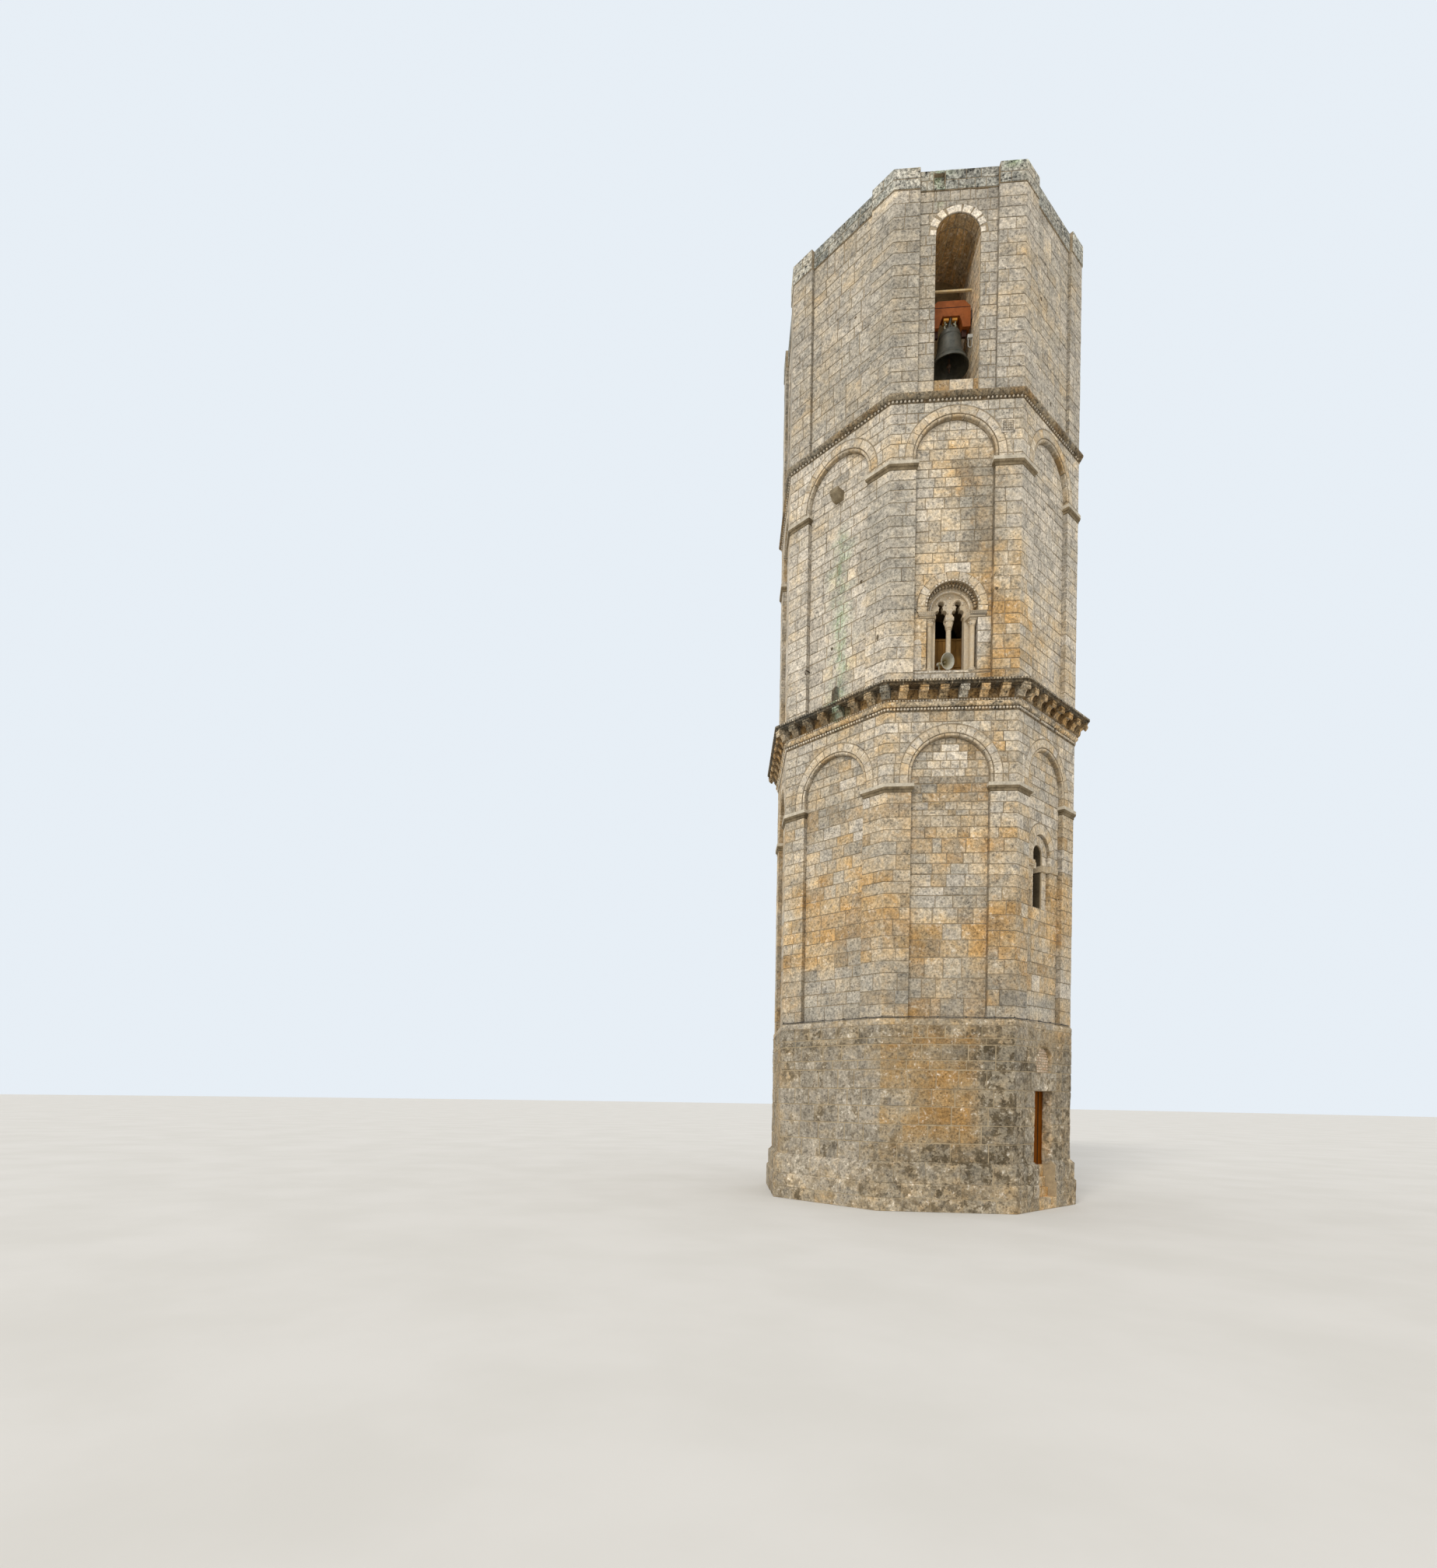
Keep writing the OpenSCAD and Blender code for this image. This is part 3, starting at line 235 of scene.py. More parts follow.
# the fifth colour is the pale lining inside the bell storey, painted light; the dark brown inside the walls below it
# is painted shade
mortar = plainStone("limeMortar", (0.320, 0.250, 0.160), (0.400, 0.325, 0.225), (0.150, 0.112, 0.065), 8,
                    (0.500, 0.380, 0.215), (0.420, 0.335, 0.215))
carvedPale = plainStone("carvedPaleStone", (0.620, 0.530, 0.395), (0.560, 0.450, 0.300), (0.370, 0.290, 0.180))
shadedFrame = plainStone("shadedFrameStone", (0.560, 0.450, 0.300), (0.480, 0.380, 0.240), (0.300, 0.230, 0.140),
                         deep=(0.100, 0.078, 0.046))
carvedDark = plainStone("carvedDarkStone", (0.225, 0.180, 0.112), (0.300, 0.245, 0.160), (0.105, 0.085, 0.055))
# painted shade: the imposts' dark colours stand for the shadow in the hollow under the fillet
imposts = plainStone("impostStonePaintedShade", (0.190, 0.145, 0.085), (0.250, 0.195, 0.120), (0.085, 0.065, 0.038), 7,
                     fillet=(0.620, 0.560, 0.450))
inside = plainStone("insideStone", (0.480, 0.390, 0.260), (0.400, 0.310, 0.190), (0.220, 0.160, 0.095))


# places on the tower: u across, v up or along, h out of the surface
def onFace(face, t, depth, z):
    a = radians(face)
    y = depth - apothem
    return Vector((t * cos(a) - y * sin(a), t * sin(a) + y * cos(a), z))


def flat(face, depth):
    def place(u, v, h):
        reach = (apothem - depth + h) * tangent
        return onFace(face, max(-reach, min(reach, u)), depth - h, v)
    return place


def corner(face, depth):  # u = 0 at the arris to the right of the face
    base = (apothem - depth) * tangent

    def place(u, v, h):
        reach = (apothem - depth + h) * tangent
        if u < 0:
            return onFace(face, min(base + u, reach + 0.3 * u), depth - h, v)
        return onFace(face + 45, max(u - base, 0.3 * u - reach), depth - h, v)
    return place


def reveal(face, side, half):  # u = depth, v = height
    return lambda u, v, h: onFace(face, side * (half - h), u, v)


def soffit(face, half, spring):  # u = depth, v = angle round the arch
    return lambda u, v, h: onFace(face, (half - h) * cos(v), u, spring + (half - h) * sin(v))


# stones
class Pile:  # many closed stones in one mesh
    def __init__(self, name, seed, soft=True):
        self.name, self.dice = name, random.Random(seed)
        self.points, self.faces, self.tones, self.rims = [], [], [], []
        self.soft, self.moss = soft, []

    def add(self, points, shapes, tone, rims=None):
        start = len(self.points)
        self.points += points
        self.faces += [tuple(start + i for i in shape) for shape in shapes]
        if self.soft:
            middle = fieldAt(sum(points, Vector()) / len(points))
            for point in points:
                here = fieldAt(point)
                self.tones.append(tuple(tone[i] + 0.8 * (here[i] - middle[i]) for i in range(3)))
        else:
            self.tones += [tone] * len(points)
        self.rims += rims or [0.0] * len(points)
        self.moss += [mossAt(point) for point in points]

    def build(self, finish, slot, replaced=(), body="tower", smooth=False):
        mesh = bpy.data.meshes.new(self.name)
        mesh.from_pydata([tuple(p) for p in self.points], [], self.faces)
        tones = mesh.attributes.new("stone", "FLOAT_VECTOR", "POINT")
        tones.data.foreach_set("vector", [x for tone in self.tones for x in tone])
        mesh.attributes.new("rim", "FLOAT", "POINT").data.foreach_set("value", self.rims)
        mesh.attributes.new("moss", "FLOAT", "POINT").data.foreach_set("value", self.moss)
        work = bmesh.new()
        work.from_mesh(mesh)
        bmesh.ops.recalc_face_normals(work, faces=work.faces)
        work.to_mesh(mesh)
        work.free()
        if smooth:
            mesh.shade_smooth()
        mesh.materials.append(finish)
        piece = bpy.data.objects.new(self.name, mesh)
        bpy.context.scene.collection.objects.link(piece)
        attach(piece, body)
        if replaced:
            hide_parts(*replaced)
        print("laid", self.name, len(mesh.polygons), "faces")


def between(low, high, rim, folds, step):
    cuts = [low + rim, high - rim] + [x for x in folds if low + 2 * rim < x < high - 2 * rim]
    parts = int((high - low) / step)
    for k in range(1, parts):
        x = low + (high - low) * k / parts
        if all(abs(x - other) > 0.03 for other in cuts):
            cuts.append(x)
    return [low] + sorted(cuts) + [high]


def block(pile, where, left, right, low, high, tone, proud=0.010, back=-0.012, rim=0.010, rough=0.0, folds=()):
    dice = pile.dice
    step = 0.095 if rough else 0.32
    us, vs = between(left, right, rim, folds, step), between(low, high, rim, (), step)
    n, m = len(us), len(vs)
    points, rims = [], []
    for j, v in enumerate(vs):
        for i, u in enumerate(us):
            du, dv = dice.uniform(-0.002, 0.002), dice.uniform(-0.002, 0.002)
            sideways, upright = (i == 0) - (i == n - 1), (j == 0) - (j == m - 1)
            edge = bool(sideways or upright)
            if sideways:
                du = sideways * abs(du) * 2
            if upright:
                dv = upright * abs(dv) * 2
            if sideways and upright:
                chip = dice.random() ** 3 * (0.03 if rough else 0.016)
                du, dv = du + sideways * chip, dv + upright * chip
            h = proud - (rim * 0.85 if edge else 0.0)
            if rough:
                spot = where(u, v, 0)
                swell = noise.noise(spot * 2.3) + noise.noise(spot * 7.9) * 0.7 + noise.noise(spot * 19) * 0.45
                h = max(h + swell * rough * (0.35 if edge else 1.0), 0.001)
            points.append(where(u + du, v + dv, h))
            rims.append(1.0 if edge else 0.0)
    ring = [(i, 0) for i in range(n)] + [(n - 1, j) for j in range(1, m)]
    ring += [(i, m - 1) for i in range(n - 2, -1, -1)] + [(0, j) for j in range(m - 2, 0, -1)]
    front = [j * n + i for i, j in ring]
    shapes = [(j * n + i, j * n + i + 1, (j + 1) * n + i + 1, (j + 1) * n + i) for j in range(m - 1)
              for i in range(n - 1)]
    start = len(points)
    points += [where(us[i], vs[j], back) for i, j in ring]
    rims += [1.0] * len(ring)
    shapes += [(front[k], start + k, start + (k - 1) % len(ring), front[k - 1]) for k in range(len(ring))]
    seats = {spot: start + k for k, spot in enumerate(ring)}
    for i in range(n - 1):  # the back in strips, so that a stone round a corner stays folded there
        strip = [(i, j) for j in range(m)] + [(i + 1, j) for j in range(m - 1, -1, -1)]
        shapes.append(tuple(seats[spot] for spot in strip if spot in seats))
    pile.add(points, shapes, tone, rims)


def cutBlock(pile, where, outline, tone, proud=0.010, back=-0.012, rim=0.010):  # a stone of any outline
    clean = []
    for p in outline:
        if not clean or dist(p, clean[-1]) > 0.004:
            clean.append(p)
    if len(clean) > 2 and dist(clean[0], clean[-1]) <= 0.004:
        clean.pop()
    n = len(clean)
    area = sum(clean[k - 1][0] * clean[k][1] - clean[k][0] * clean[k - 1][1] for k in range(n)) / 2
    if n < 3 or abs(area) < 0.004:
        return
    turn = 1 if area > 0 else -1
    inner = []
    for k in range(n):
        (ax, ay), (bx, by), (cx, cy) = clean[k - 1], clean[k], clean[(k + 1) % n]
        one, two = Vector((bx - ax, by - ay)).normalized(), Vector((cx - bx, cy - by)).normalized()
        side = Vector((-one.y - two.y, one.x + two.x)) * turn
        if side.length < 0.2:
            side = Vector((-one.y, one.x)) * turn
        side.normalize()
        reach = rim / max(0.5, side.dot(Vector((-one.y, one.x)) * turn))
        inner.append((bx + side.x * reach, by + side.y * reach))
    points = [where(u, v, back) for u, v in clean] + [where(u, v, proud - rim * 0.8) for u, v in clean]
    points += [where(u, v, proud) for u, v in inner]
    shapes = [tuple(range(n - 1, -1, -1)), tuple(range(2 * n, 3 * n))]
    for k in range(n):
        j = (k + 1) % n
        shapes += [(k, j, n + j, n + k), (n + k, n + j, 2 * n + j, 2 * n + k)]
    pile.add(points, shapes, tone, [1.0] * (2 * n) + [0.0] * n)


def loft(pile, rings, tone, rims=None, flankShade=None):  # joins rings of points into one closed stone
    n, points, shapes = len(rings[0]), [], []
    for k, ring in enumerate(rings):
        points += ring
        if k:
            a, b = (k - 1) * n, k * n
            shapes += [(a + i, a + (i + 1) % n, b + (i + 1) % n, b + i) for i in range(n)]
    shapes += [tuple(range(n - 1, -1, -1)), tuple(range(len(points) - n, len(points)))]
    shades = rims or ([1.0] + [0.0] * (len(rings) - 2) + [1.0])
    # flankShade darkens points of the section, painted shade
    flankShade = flankShade or [0.0] * n
    pile.add(points, shapes, tone, [max(shade, flank) for shade in shades for flank in flankShade])


def runRound(pile, section, tone, pitch, gap, skip=None, rough=0.0):
    # stones of a moulding on every side: each corner stone turns the arris, the others lie between them
    # section holds points (out, z) against the pilaster face, and tone(face, t, z) gives the stone's tone
    dice = pile.dice
    middle = (sum(p[0] for p in section) / len(section), sum(p[1] for p in section) / len(section))
    shrunk = [(p[0] + (middle[0] - p[0]) * 0.05 if abs(p[0]) > 0.001 else p[0], p[1] + (middle[1] - p[1]) * 0.06)
              for p in section]

    def ring(face, t, line, mitre=False):
        made = []
        for out, z in line:
            swell = 0.0
            if rough:
                spot = onFace(face, t if not mitre else halfSide, -out, z)
                swell = max(-0.007, (noise.noise(spot * 2.1) + 0.6 * noise.noise(spot * 7.3)) * rough)
                swell = swell if out > 0.0 else 0.0
            reach = (apothem + out + swell) * tangent
            made.append(onFace(face, reach if mitre else t, -(out + swell), z))
        return made

    def span(face, left, right):
        count = max(1, round((right - left) / 0.16)) if rough else 1
        rings = [ring(face, left, shrunk)]
        rings += [ring(face, left + 0.008 + (right - left - 0.016) * k / count, section) for k in range(count + 1)]
        loft(pile, rings + [ring(face, right, shrunk)], tone(face, (left + right) / 2, middle[1]))

    arms = {face: (dice.uniform(0.28, 0.5) * min(1.0, pitch / 0.5), dice.uniform(0.28, 0.5) * min(1.0, pitch / 0.5))
            for face in faces}
    for face in faces:
        nextFace = (face + 45) % 360
        left, right = arms[face]
        rings = [ring(face, halfSide - left, shrunk), ring(face, halfSide - left + 0.008, section)]
        rings += [ring(face, 0, section, True)]
        rings += [ring(nextFace, right - halfSide - 0.008, section), ring(nextFace, right - halfSide, shrunk)]
        if not (skip and skip(face, halfSide - left, halfSide)):
            loft(pile, rings, tone(face, halfSide, middle[1]))
        start, end = -halfSide + arms[(face - 45) % 360][1] + gap, halfSide - left - gap
        stretches = [(start, end)]
        if skip and skip(face, start, end):
            low, high = skip(face, start, end)
            stretches = [(start, low), (high, end)]
        for low, high in stretches:
            count = max(1, round((high - low) / pitch))
            cuts = [low + (high - low) * (k + (dice.uniform(-0.2, 0.2) if 0 < k < count else 0)) / count
                    for k in range(count + 1)]
            for k in range(count):
                span(face, cuts[k] + (gap / 2 if k else 0), cuts[k + 1] - (gap / 2 if k < count - 1 else 0))


# tones: how ochre, grey and bright each stone is, by zone and by the marks seen on the real tower
zones = {
    "base": {"ochre": (0.44, 0.16), "grey": (0.26, 0.16), "bright": (0.84, 0.10)},
    "lower": {"ochre": (0.36, 0.34), "grey": (0.20, 0.32), "bright": (0.97, 0.13)},
    "upper": {"ochre": (0.22, 0.17), "grey": (0.16, 0.24), "bright": (1.03, 0.12)},
    "belfry": {"ochre": (0.16, 0.14), "grey": (0.38, 0.20), "bright": (0.92, 0.10)},
    "parapet": {"ochre": (0.10, 0.10), "grey": (0.72, 0.22), "bright": (0.86, 0.14)},
    "inside": {"ochre": (0.98, 0.12), "grey": (0.06, 0.12), "bright": (0.82, 0.12)},
    "mould": {"ochre": (0.42, 0.18), "grey": (0.50, 0.22), "bright": (0.74, 0.10)},
    "torus": {"ochre": (0.58, 0.18), "grey": (0.04, 0.12), "bright": (1.02, 0.07)},
    "arch": {"ochre": (0.30, 0.18), "grey": (0.04, 0.14), "bright": (1.06, 0.09)},
}
# for each face: t, z, half width, half height, change of ochre, grey and brightness
marks = {
    0: [(-1.23, 15.9, 0.40, 1.9, -0.15, 0.55, -0.04), (0.62, 16.9, 0.34, 1.0, 0.20, 0.45, -0.18),
        (0.20, 17.6, 0.25, 0.35, 0.45, 0.2, -0.12), (0.70, 15.6, 0.30, 0.9, 0.35, 0.15, -0.10),
        (1.15, 13.5, 0.45, 0.8, 0.52, -0.1, 0.04), (0.95, 13.2, 0.25, 0.5, 0.60, 0.0, -0.04),
        (-0.75, 13.6, 0.20, 0.9, 0.35, -0.1, 0.0), (0.0, 15.3, 0.9, 0.5, 0.25, -0.15, 0.02),
        (-0.3, 17.2, 0.6, 1.2, 0.05, -0.1, 0.04), (1.2, 14.9, 0.40, 0.5, 0.35, 0.05, 0.0),
        (1.15, 14.3, 0.25, 0.3, 0.30, -0.1, 0.04), (0.0, 10.9, 0.85, 0.55, 0.20, 0.32, -0.04),
        (-0.35, 10.30, 0.45, 0.12, 0.35, 0.40, -0.24), (0.55, 10.32, 0.30, 0.10, 0.30, 0.30, -0.16),
        (0.0, 9.95, 0.9, 0.25, 0.30, 0.1, -0.04), (0.15, 8.75, 0.7, 0.35, 0.12, 0.0, 0.08),
        (1.25, 8.9, 0.35, 0.35, 0.28, -0.1, 0.03), (-1.2, 10.0, 0.35, 0.3, 0.25, 0.35, -0.14),
        (0.2, 6.65, 0.95, 0.5, 0.50, -0.1, 0.02), (-1.1, 7.1, 0.45, 0.8, 0.35, 0.0, 0.0),
        (1.2, 7.0, 0.35, 0.55, 0.5, -0.1, 0.0), (0.0, 7.9, 0.9, 0.7, -0.05, 0.25, -0.06),
        (0.8, 5.3, 0.9, 0.7, 0.10, 0.35, -0.14), (-0.9, 5.4, 0.5, 0.5, 0.10, 0.45, -0.12),
        (0.0, 4.08, 1.4, 0.12, 0.45, -0.2, 0.08), (-0.1, 2.6, 0.85, 0.9, 0.40, -0.24, 0.02),
        (0.8, 3.6, 0.5, 0.5, 0.10, 0.15, 0.0), (1.15, 2.6, 0.42, 1.5, -0.12, 0.58, -0.06),
        (-0.2, 11.5, 1.5, 0.5, -0.05, 0.05, 0.03), (-1.2, 22.6, 0.4, 1.2, 0.1, 0.15, -0.03),
        (0.0, 24.2, 0.95, 0.3, -0.05, 0.30, -0.10), (-1.0, 19.1, 0.9, 0.4, -0.1, 0.35, -0.03),
        (0.9, 19.15, 0.9, 0.25, -0.1, 0.40, -0.05), (1.2, 24.7, 0.5, 0.4, -0.1, 0.1, -0.08),
        (-1.2, 24.7, 0.5, 0.4, 0.25, -0.45, 0.10), (0.0, 1.2, 1.5, 0.35, -0.10, 0.25, -0.08),
        (-0.3, 3.8, 1.15, 0.75, 0.04, -0.06, -0.08), (-1.1, 2.9, 0.5, 1.2, 0.0, -0.05, 0.0),
        (0.0, 18.9, 1.5, 0.45, -0.12, 0.05, 0.06)],
    315: [(1.25, 16.2, 0.40, 1.6, -0.1, 0.50, -0.06), (0.7, 6.4, 0.4, 0.4, 0.1, 0.5, -0.1),
        (-0.7, 8.0, 0.4, 0.5, 0.5, -0.1, 0.0), (0.9, 8.2, 0.3, 0.5, 0.45, 0.0, -0.04),
        (0.0, 9.9, 0.5, 0.3, 0.2, 0.4, -0.1), (-0.2, 7.0, 1.3, 0.9, 0.40, -0.15, 0.02),
        (-0.3, 9.2, 1.2, 0.8, 0.0, 0.0, 0.04), (0.2, 5.2, 1.3, 0.6, -0.1, 0.40, -0.02),
        (-0.4, 10.6, 1.3, 0.7, 0.02, 0.20, -0.02), (0.2, 17.0, 1.4, 2.2, -0.14, 0.12, 0.02),
        (0.0, 13.6, 1.4, 0.9, -0.10, -0.05, 0.06), (0.06, 15.4, 0.13, 2.2, 0.0, 0.35, -0.06),
        (0.14, 13.4, 0.13, 0.5, 0.1, 0.35, -0.08), (0.3, 22.5, 1.5, 2.2, -0.06, 0.15, 0.0),
        (1.3, 24.7, 0.5, 0.4, 0.2, -0.3, 0.08), (0.0, 2.9, 1.5, 1.7, -0.62, 0.12, -0.07),
        (0.2, 4.2, 1.3, 0.3, 0.2, 0.1, 0.0)],
    45: [(-1.2, 2.2, 0.5, 1.6, -0.04, 0.42, -0.06), (-0.2, 4.93, 0.85, 0.18, -0.4, 0.9, 0.02),
        (0.0, 6.9, 1.5, 1.2, 0.25, -0.05, 0.06), (0.8, 7.4, 0.4, 0.9, 0.35, -0.2, 0.06),
        (-0.9, 6.2, 0.5, 0.7, 0.1, 0.35, -0.06), (0.0, 10.6, 1.5, 1.2, -0.20, -0.1, 0.10),
        (0.0, 14.0, 1.5, 1.4, 0.05, -0.1, 0.08), (0.0, 17.3, 1.5, 1.8, -0.32, 0.14, 0.09),
        (0.0, 22.0, 1.5, 2.6, -0.05, 0.0, 0.08), (1.1, 2.6, 0.5, 1.6, 0.0, 0.25, -0.04),
        (0.0, 0.5, 1.7, 0.6, -0.05, 0.10, -0.06)]}


def fieldAt(spot, face=None, t=0.0):  # what marks and slow changes add at a place: ochre, grey, brightness
    if face is None:
        face = 45 * round(degrees(atan2(spot.x, -spot.y)) / 45) % 360
        a = radians(face)
        t = spot.x * cos(a) + spot.y * sin(a)
    z = spot.z
    patch = noise.noise(spot * 0.55 + Vector((3.1, 7.7, 1.3))) + 0.6 * noise.noise(spot * 1.5)
    grime = noise.noise(spot * 0.45 + Vector((9.1, 2.7, 5.3))) + 0.6 * noise.noise(spot * 1.3 + Vector((1, 5, 2)))
    ochre, grey, bright = 0.26 * patch, 0.26 * grime, 0.06 * noise.noise(spot * 0.9 + Vector((5, 5, 5)))
    for mt, mz, halfWide, halfHigh, more, greyer, brighter in marks.get(face % 360, ()):
        away = max(abs(t - mt) / halfWide, abs(z - mz) / halfHigh)
        if away < 1.35:
            weight = min(1.0, (1.35 - away) / 0.6)
            ochre, grey, bright = ochre + more * weight, grey + greyer * weight, bright + brighter * weight
    return ochre, grey, bright


# face, t, z, half width, half height of green washes
greens = [(315, 0.06, 15.6, 0.16, 1.1), (315, 0.00, 14.3, 0.14, 0.9), (315, 0.16, 13.2, 0.20, 0.7),
          (315, 0.24, 12.4, 0.16, 0.35), (315, -0.02, 16.6, 0.12, 0.4), (0, -0.45, 24.9, 0.16, 0.12),
          (0, 1.30, 25.0, 0.25, 0.12), (0, -0.42, 24.45, 0.07, 0.2)]


def mossAt(spot):
    most = 0.0
    if abs(spot.z - 18) < 8 and spot.y < 0:
        for face, mt, mz, halfWide, halfHigh in greens:
            a = radians(face)
            if spot.x * sin(a) - spot.y * cos(a) > 3.4:
                t = spot.x * cos(a) + spot.y * sin(a)
                most = max(most, min(1.0, 2.0 - 1.4 * max(abs(t - mt) / halfWide, abs(spot.z - mz) / halfHigh)))
    return max(0.0, most)


def toneAt(dice, zone, face, t, z, spread=1.0):
    look = zones[zone]
    field = (0, 0, 0) if zone in ("arch", "torus") else fieldAt(onFace(face, t, 0, z), face, t)
    ochre = look["ochre"][0] + field[0] + look["ochre"][1] * dice.gauss(0, 0.6) * spread
    grey = look["grey"][0] + field[1] + look["grey"][1] * dice.gauss(0, 0.65) * spread
    bright = look["bright"][0] + field[2] + look["bright"][1] * dice.gauss(0, 0.75) * spread
    return (max(0.0, min(1.0, ochre)), max(0.0, min(1.0, grey)), max(0.4, min(1.3, bright)))


def cornerTone(dice, zone, face, inset, z):  # the mean of the tones at both sides of an arris
    one = toneAt(dice, zone, face, halfSide - inset, z)
    two = toneAt(dice, zone, face + 45, inset - halfSide, z)
    return tuple((a + b) / 2 for a, b in zip(one, two))


# courses of stones
def pairs(cuts):  # each cut with the next one
    return list(zip(cuts, cuts[1:]))


def courses(dice, low, high, first, last, fixed=()):  # levels whose heights go from first to last
    made, ends = [], sorted([z for z in fixed if low < z < high]) + [high]
    start = low
    for end in ends:
        middle = first + (last - first) * ((start + end) / 2 - low) / (high - low)
        count = max(1, round((end - start) / middle))
        rises = [start - low + (end - start) * k / count for k in range(count)]
        heights = [dice.uniform(0.8, 1.2) * (first + (last - first) * (rise / (high - low))) for rise in rises]
        scale, z = (end - start) / sum(heights), start
        for height in heights:
            made.append(z)
            z += height * scale
        start = end
    return made + [high]


def splitWidth(dice, left, right, widths, below):
    total = right - left
    count = max(1, round(total / (sum(widths) / 2 * dice.uniform(0.85, 1.15))))
    shares = [dice.uniform(*widths) for _ in range(count)]
    cuts = [left]
    for share in shares:
        cuts.append(cuts[-1] + share * total / sum(shares))
    for k in range(1, count):
        if any(abs(cuts[k] - old) < 0.05 for old in below):
            cuts[k] += dice.choice((-1, 1)) * 0.07  # joints of two courses don't stand in one line
    return cuts


def holeHalf(hole, low, high):  # half of what a window takes from a course
    for bottom, top, half in hole["bands"]:
        if bottom - 0.02 <= low and high <= top + 0.02:
            return half
    centre, radius = hole["arc"]
    if centre - 0.02 <= low < centre + radius and high < centre + radius:
        return sqrt(radius ** 2 - max(0.0, high - centre) ** 2)
    return 0.0


def bentOutline(left, right, low, high, arch, arc, gap):
    # the stone's outline where an arch above or a window's arc below cuts it, or None where it stays square
    marksAt = [left + (right - left) * k / 8 for k in range(9)]
    for curve, level in ((arch, high), (arc, low)):
        if curve and 0 < level - curve[0] < curve[1]:
            chord = sqrt(curve[1] ** 2 - (level - curve[0]) ** 2)
            marksAt += [t for t in (chord, -chord) if left < t < right]
    feet, heads = [], []
    for t in sorted(marksAt):
        foot, head = low, high
        if arc and abs(t) < arc[1] and high > arc[0]:
            foot = max(foot, arc[0] + sqrt(arc[1] ** 2 - t * t) + gap / 2)
        if arch and low + 0.3 > arch[0] - 0.3 and high > arch[0]:
            head = min(head, arch[0] + sqrt(max(0.0, arch[1] ** 2 - t * t)) - gap / 2)
        feet.append((t, min(foot, head)))
        heads.append((t, max(foot, head) if foot < head else head))
    if all(abs(p[1] - low) < 0.003 for p in feet) and all(abs(p[1] - high) < 0.003 for p in heads):
        return None
    keep = [k for k in range(len(feet)) if heads[k][1] - feet[k][1] > 0.012]
    if len(keep) < 2:
        return []
    first, last = max(0, keep[0] - 1), min(len(feet), keep[-1] + 2)
    return feet[first:last] + heads[first:last][::-1]


def fill(pile, where, levels, limits, widths, toneOf, arch=None, hole=None, back=-0.03, gap=0.009, double=0.07,
         rough=0.0, given=None, proud=0.010):
    dice, taken, below = pile.dice, [], []
    wider = lambda: max(0.0, dice.gauss(-0.002, 0.005))  # some joints have lost their mortar
    for k in range(len(levels) - 1):
        low, high = levels[k], levels[k + 1]
        left, right = limits(k)
        if arch and low >= arch[0] + arch[1] - 0.04:
            break
        if arch and low > arch[0]:
            chord = sqrt(arch[1] ** 2 - (low - arch[0]) ** 2)
            left, right = max(left, -chord), min(right, chord)
        closed = list(taken)
        if hole and holeHalf(hole, low, high) > 0:
            closed.append((-holeHalf(hole, low, high), holeHalf(hole, low, high)))
        taken, spans, start = [], [], left
        for a, b in sorted(closed):
            if a > start + 0.03:
                spans.append((start, a))
            start = max(start, b)
        if right > start + 0.03:
            spans.append((start, right))
        seen = []
        for a, b in spans:
            cuts = splitWidth(dice, a, b, widths(low), below)
            if given and k in given and len(spans) == 1:
                cuts = [a] + [t for t in given[k] if a + 0.06 < t < b - 0.06] + [b]
            seen += cuts[1:-1]
            for i in range(len(cuts) - 1):
                one = cuts[i] + (gap / 2 + wider() if i else 0.003)
                two = cuts[i + 1] - (gap / 2 + wider() if i < len(cuts) - 2 else 0.003)
                top = high
                after = levels[min(k + 2, len(levels) - 1)]
                nearHole = hole and after > hole["bands"][0][0] - 0.1 and low < sum(hole["arc"]) + 0.3
                single = given or nearHole or (arch and after > arch[0])
                if k + 2 < len(levels) and dice.random() < double and two - one < 0.55 and not single:
                    top = levels[k + 2]
                    taken.append((cuts[i], cuts[i + 1]))
                foot, head = low + gap / 2 + wider(), top - gap / 2 - wider()
                outline = bentOutline(one, two, foot, head, arch, hole["arc"] if hole else None, gap)
                tone = toneOf((one + two) / 2, (low + top) / 2)
                if outline is None:
                    block(pile, where, one, two, foot, head, tone, proud + dice.uniform(-0.003, 0.004), back,
                          rough=rough)
                elif outline:
                    cutBlock(pile, where, outline, tone, proud, back)
        below = seen


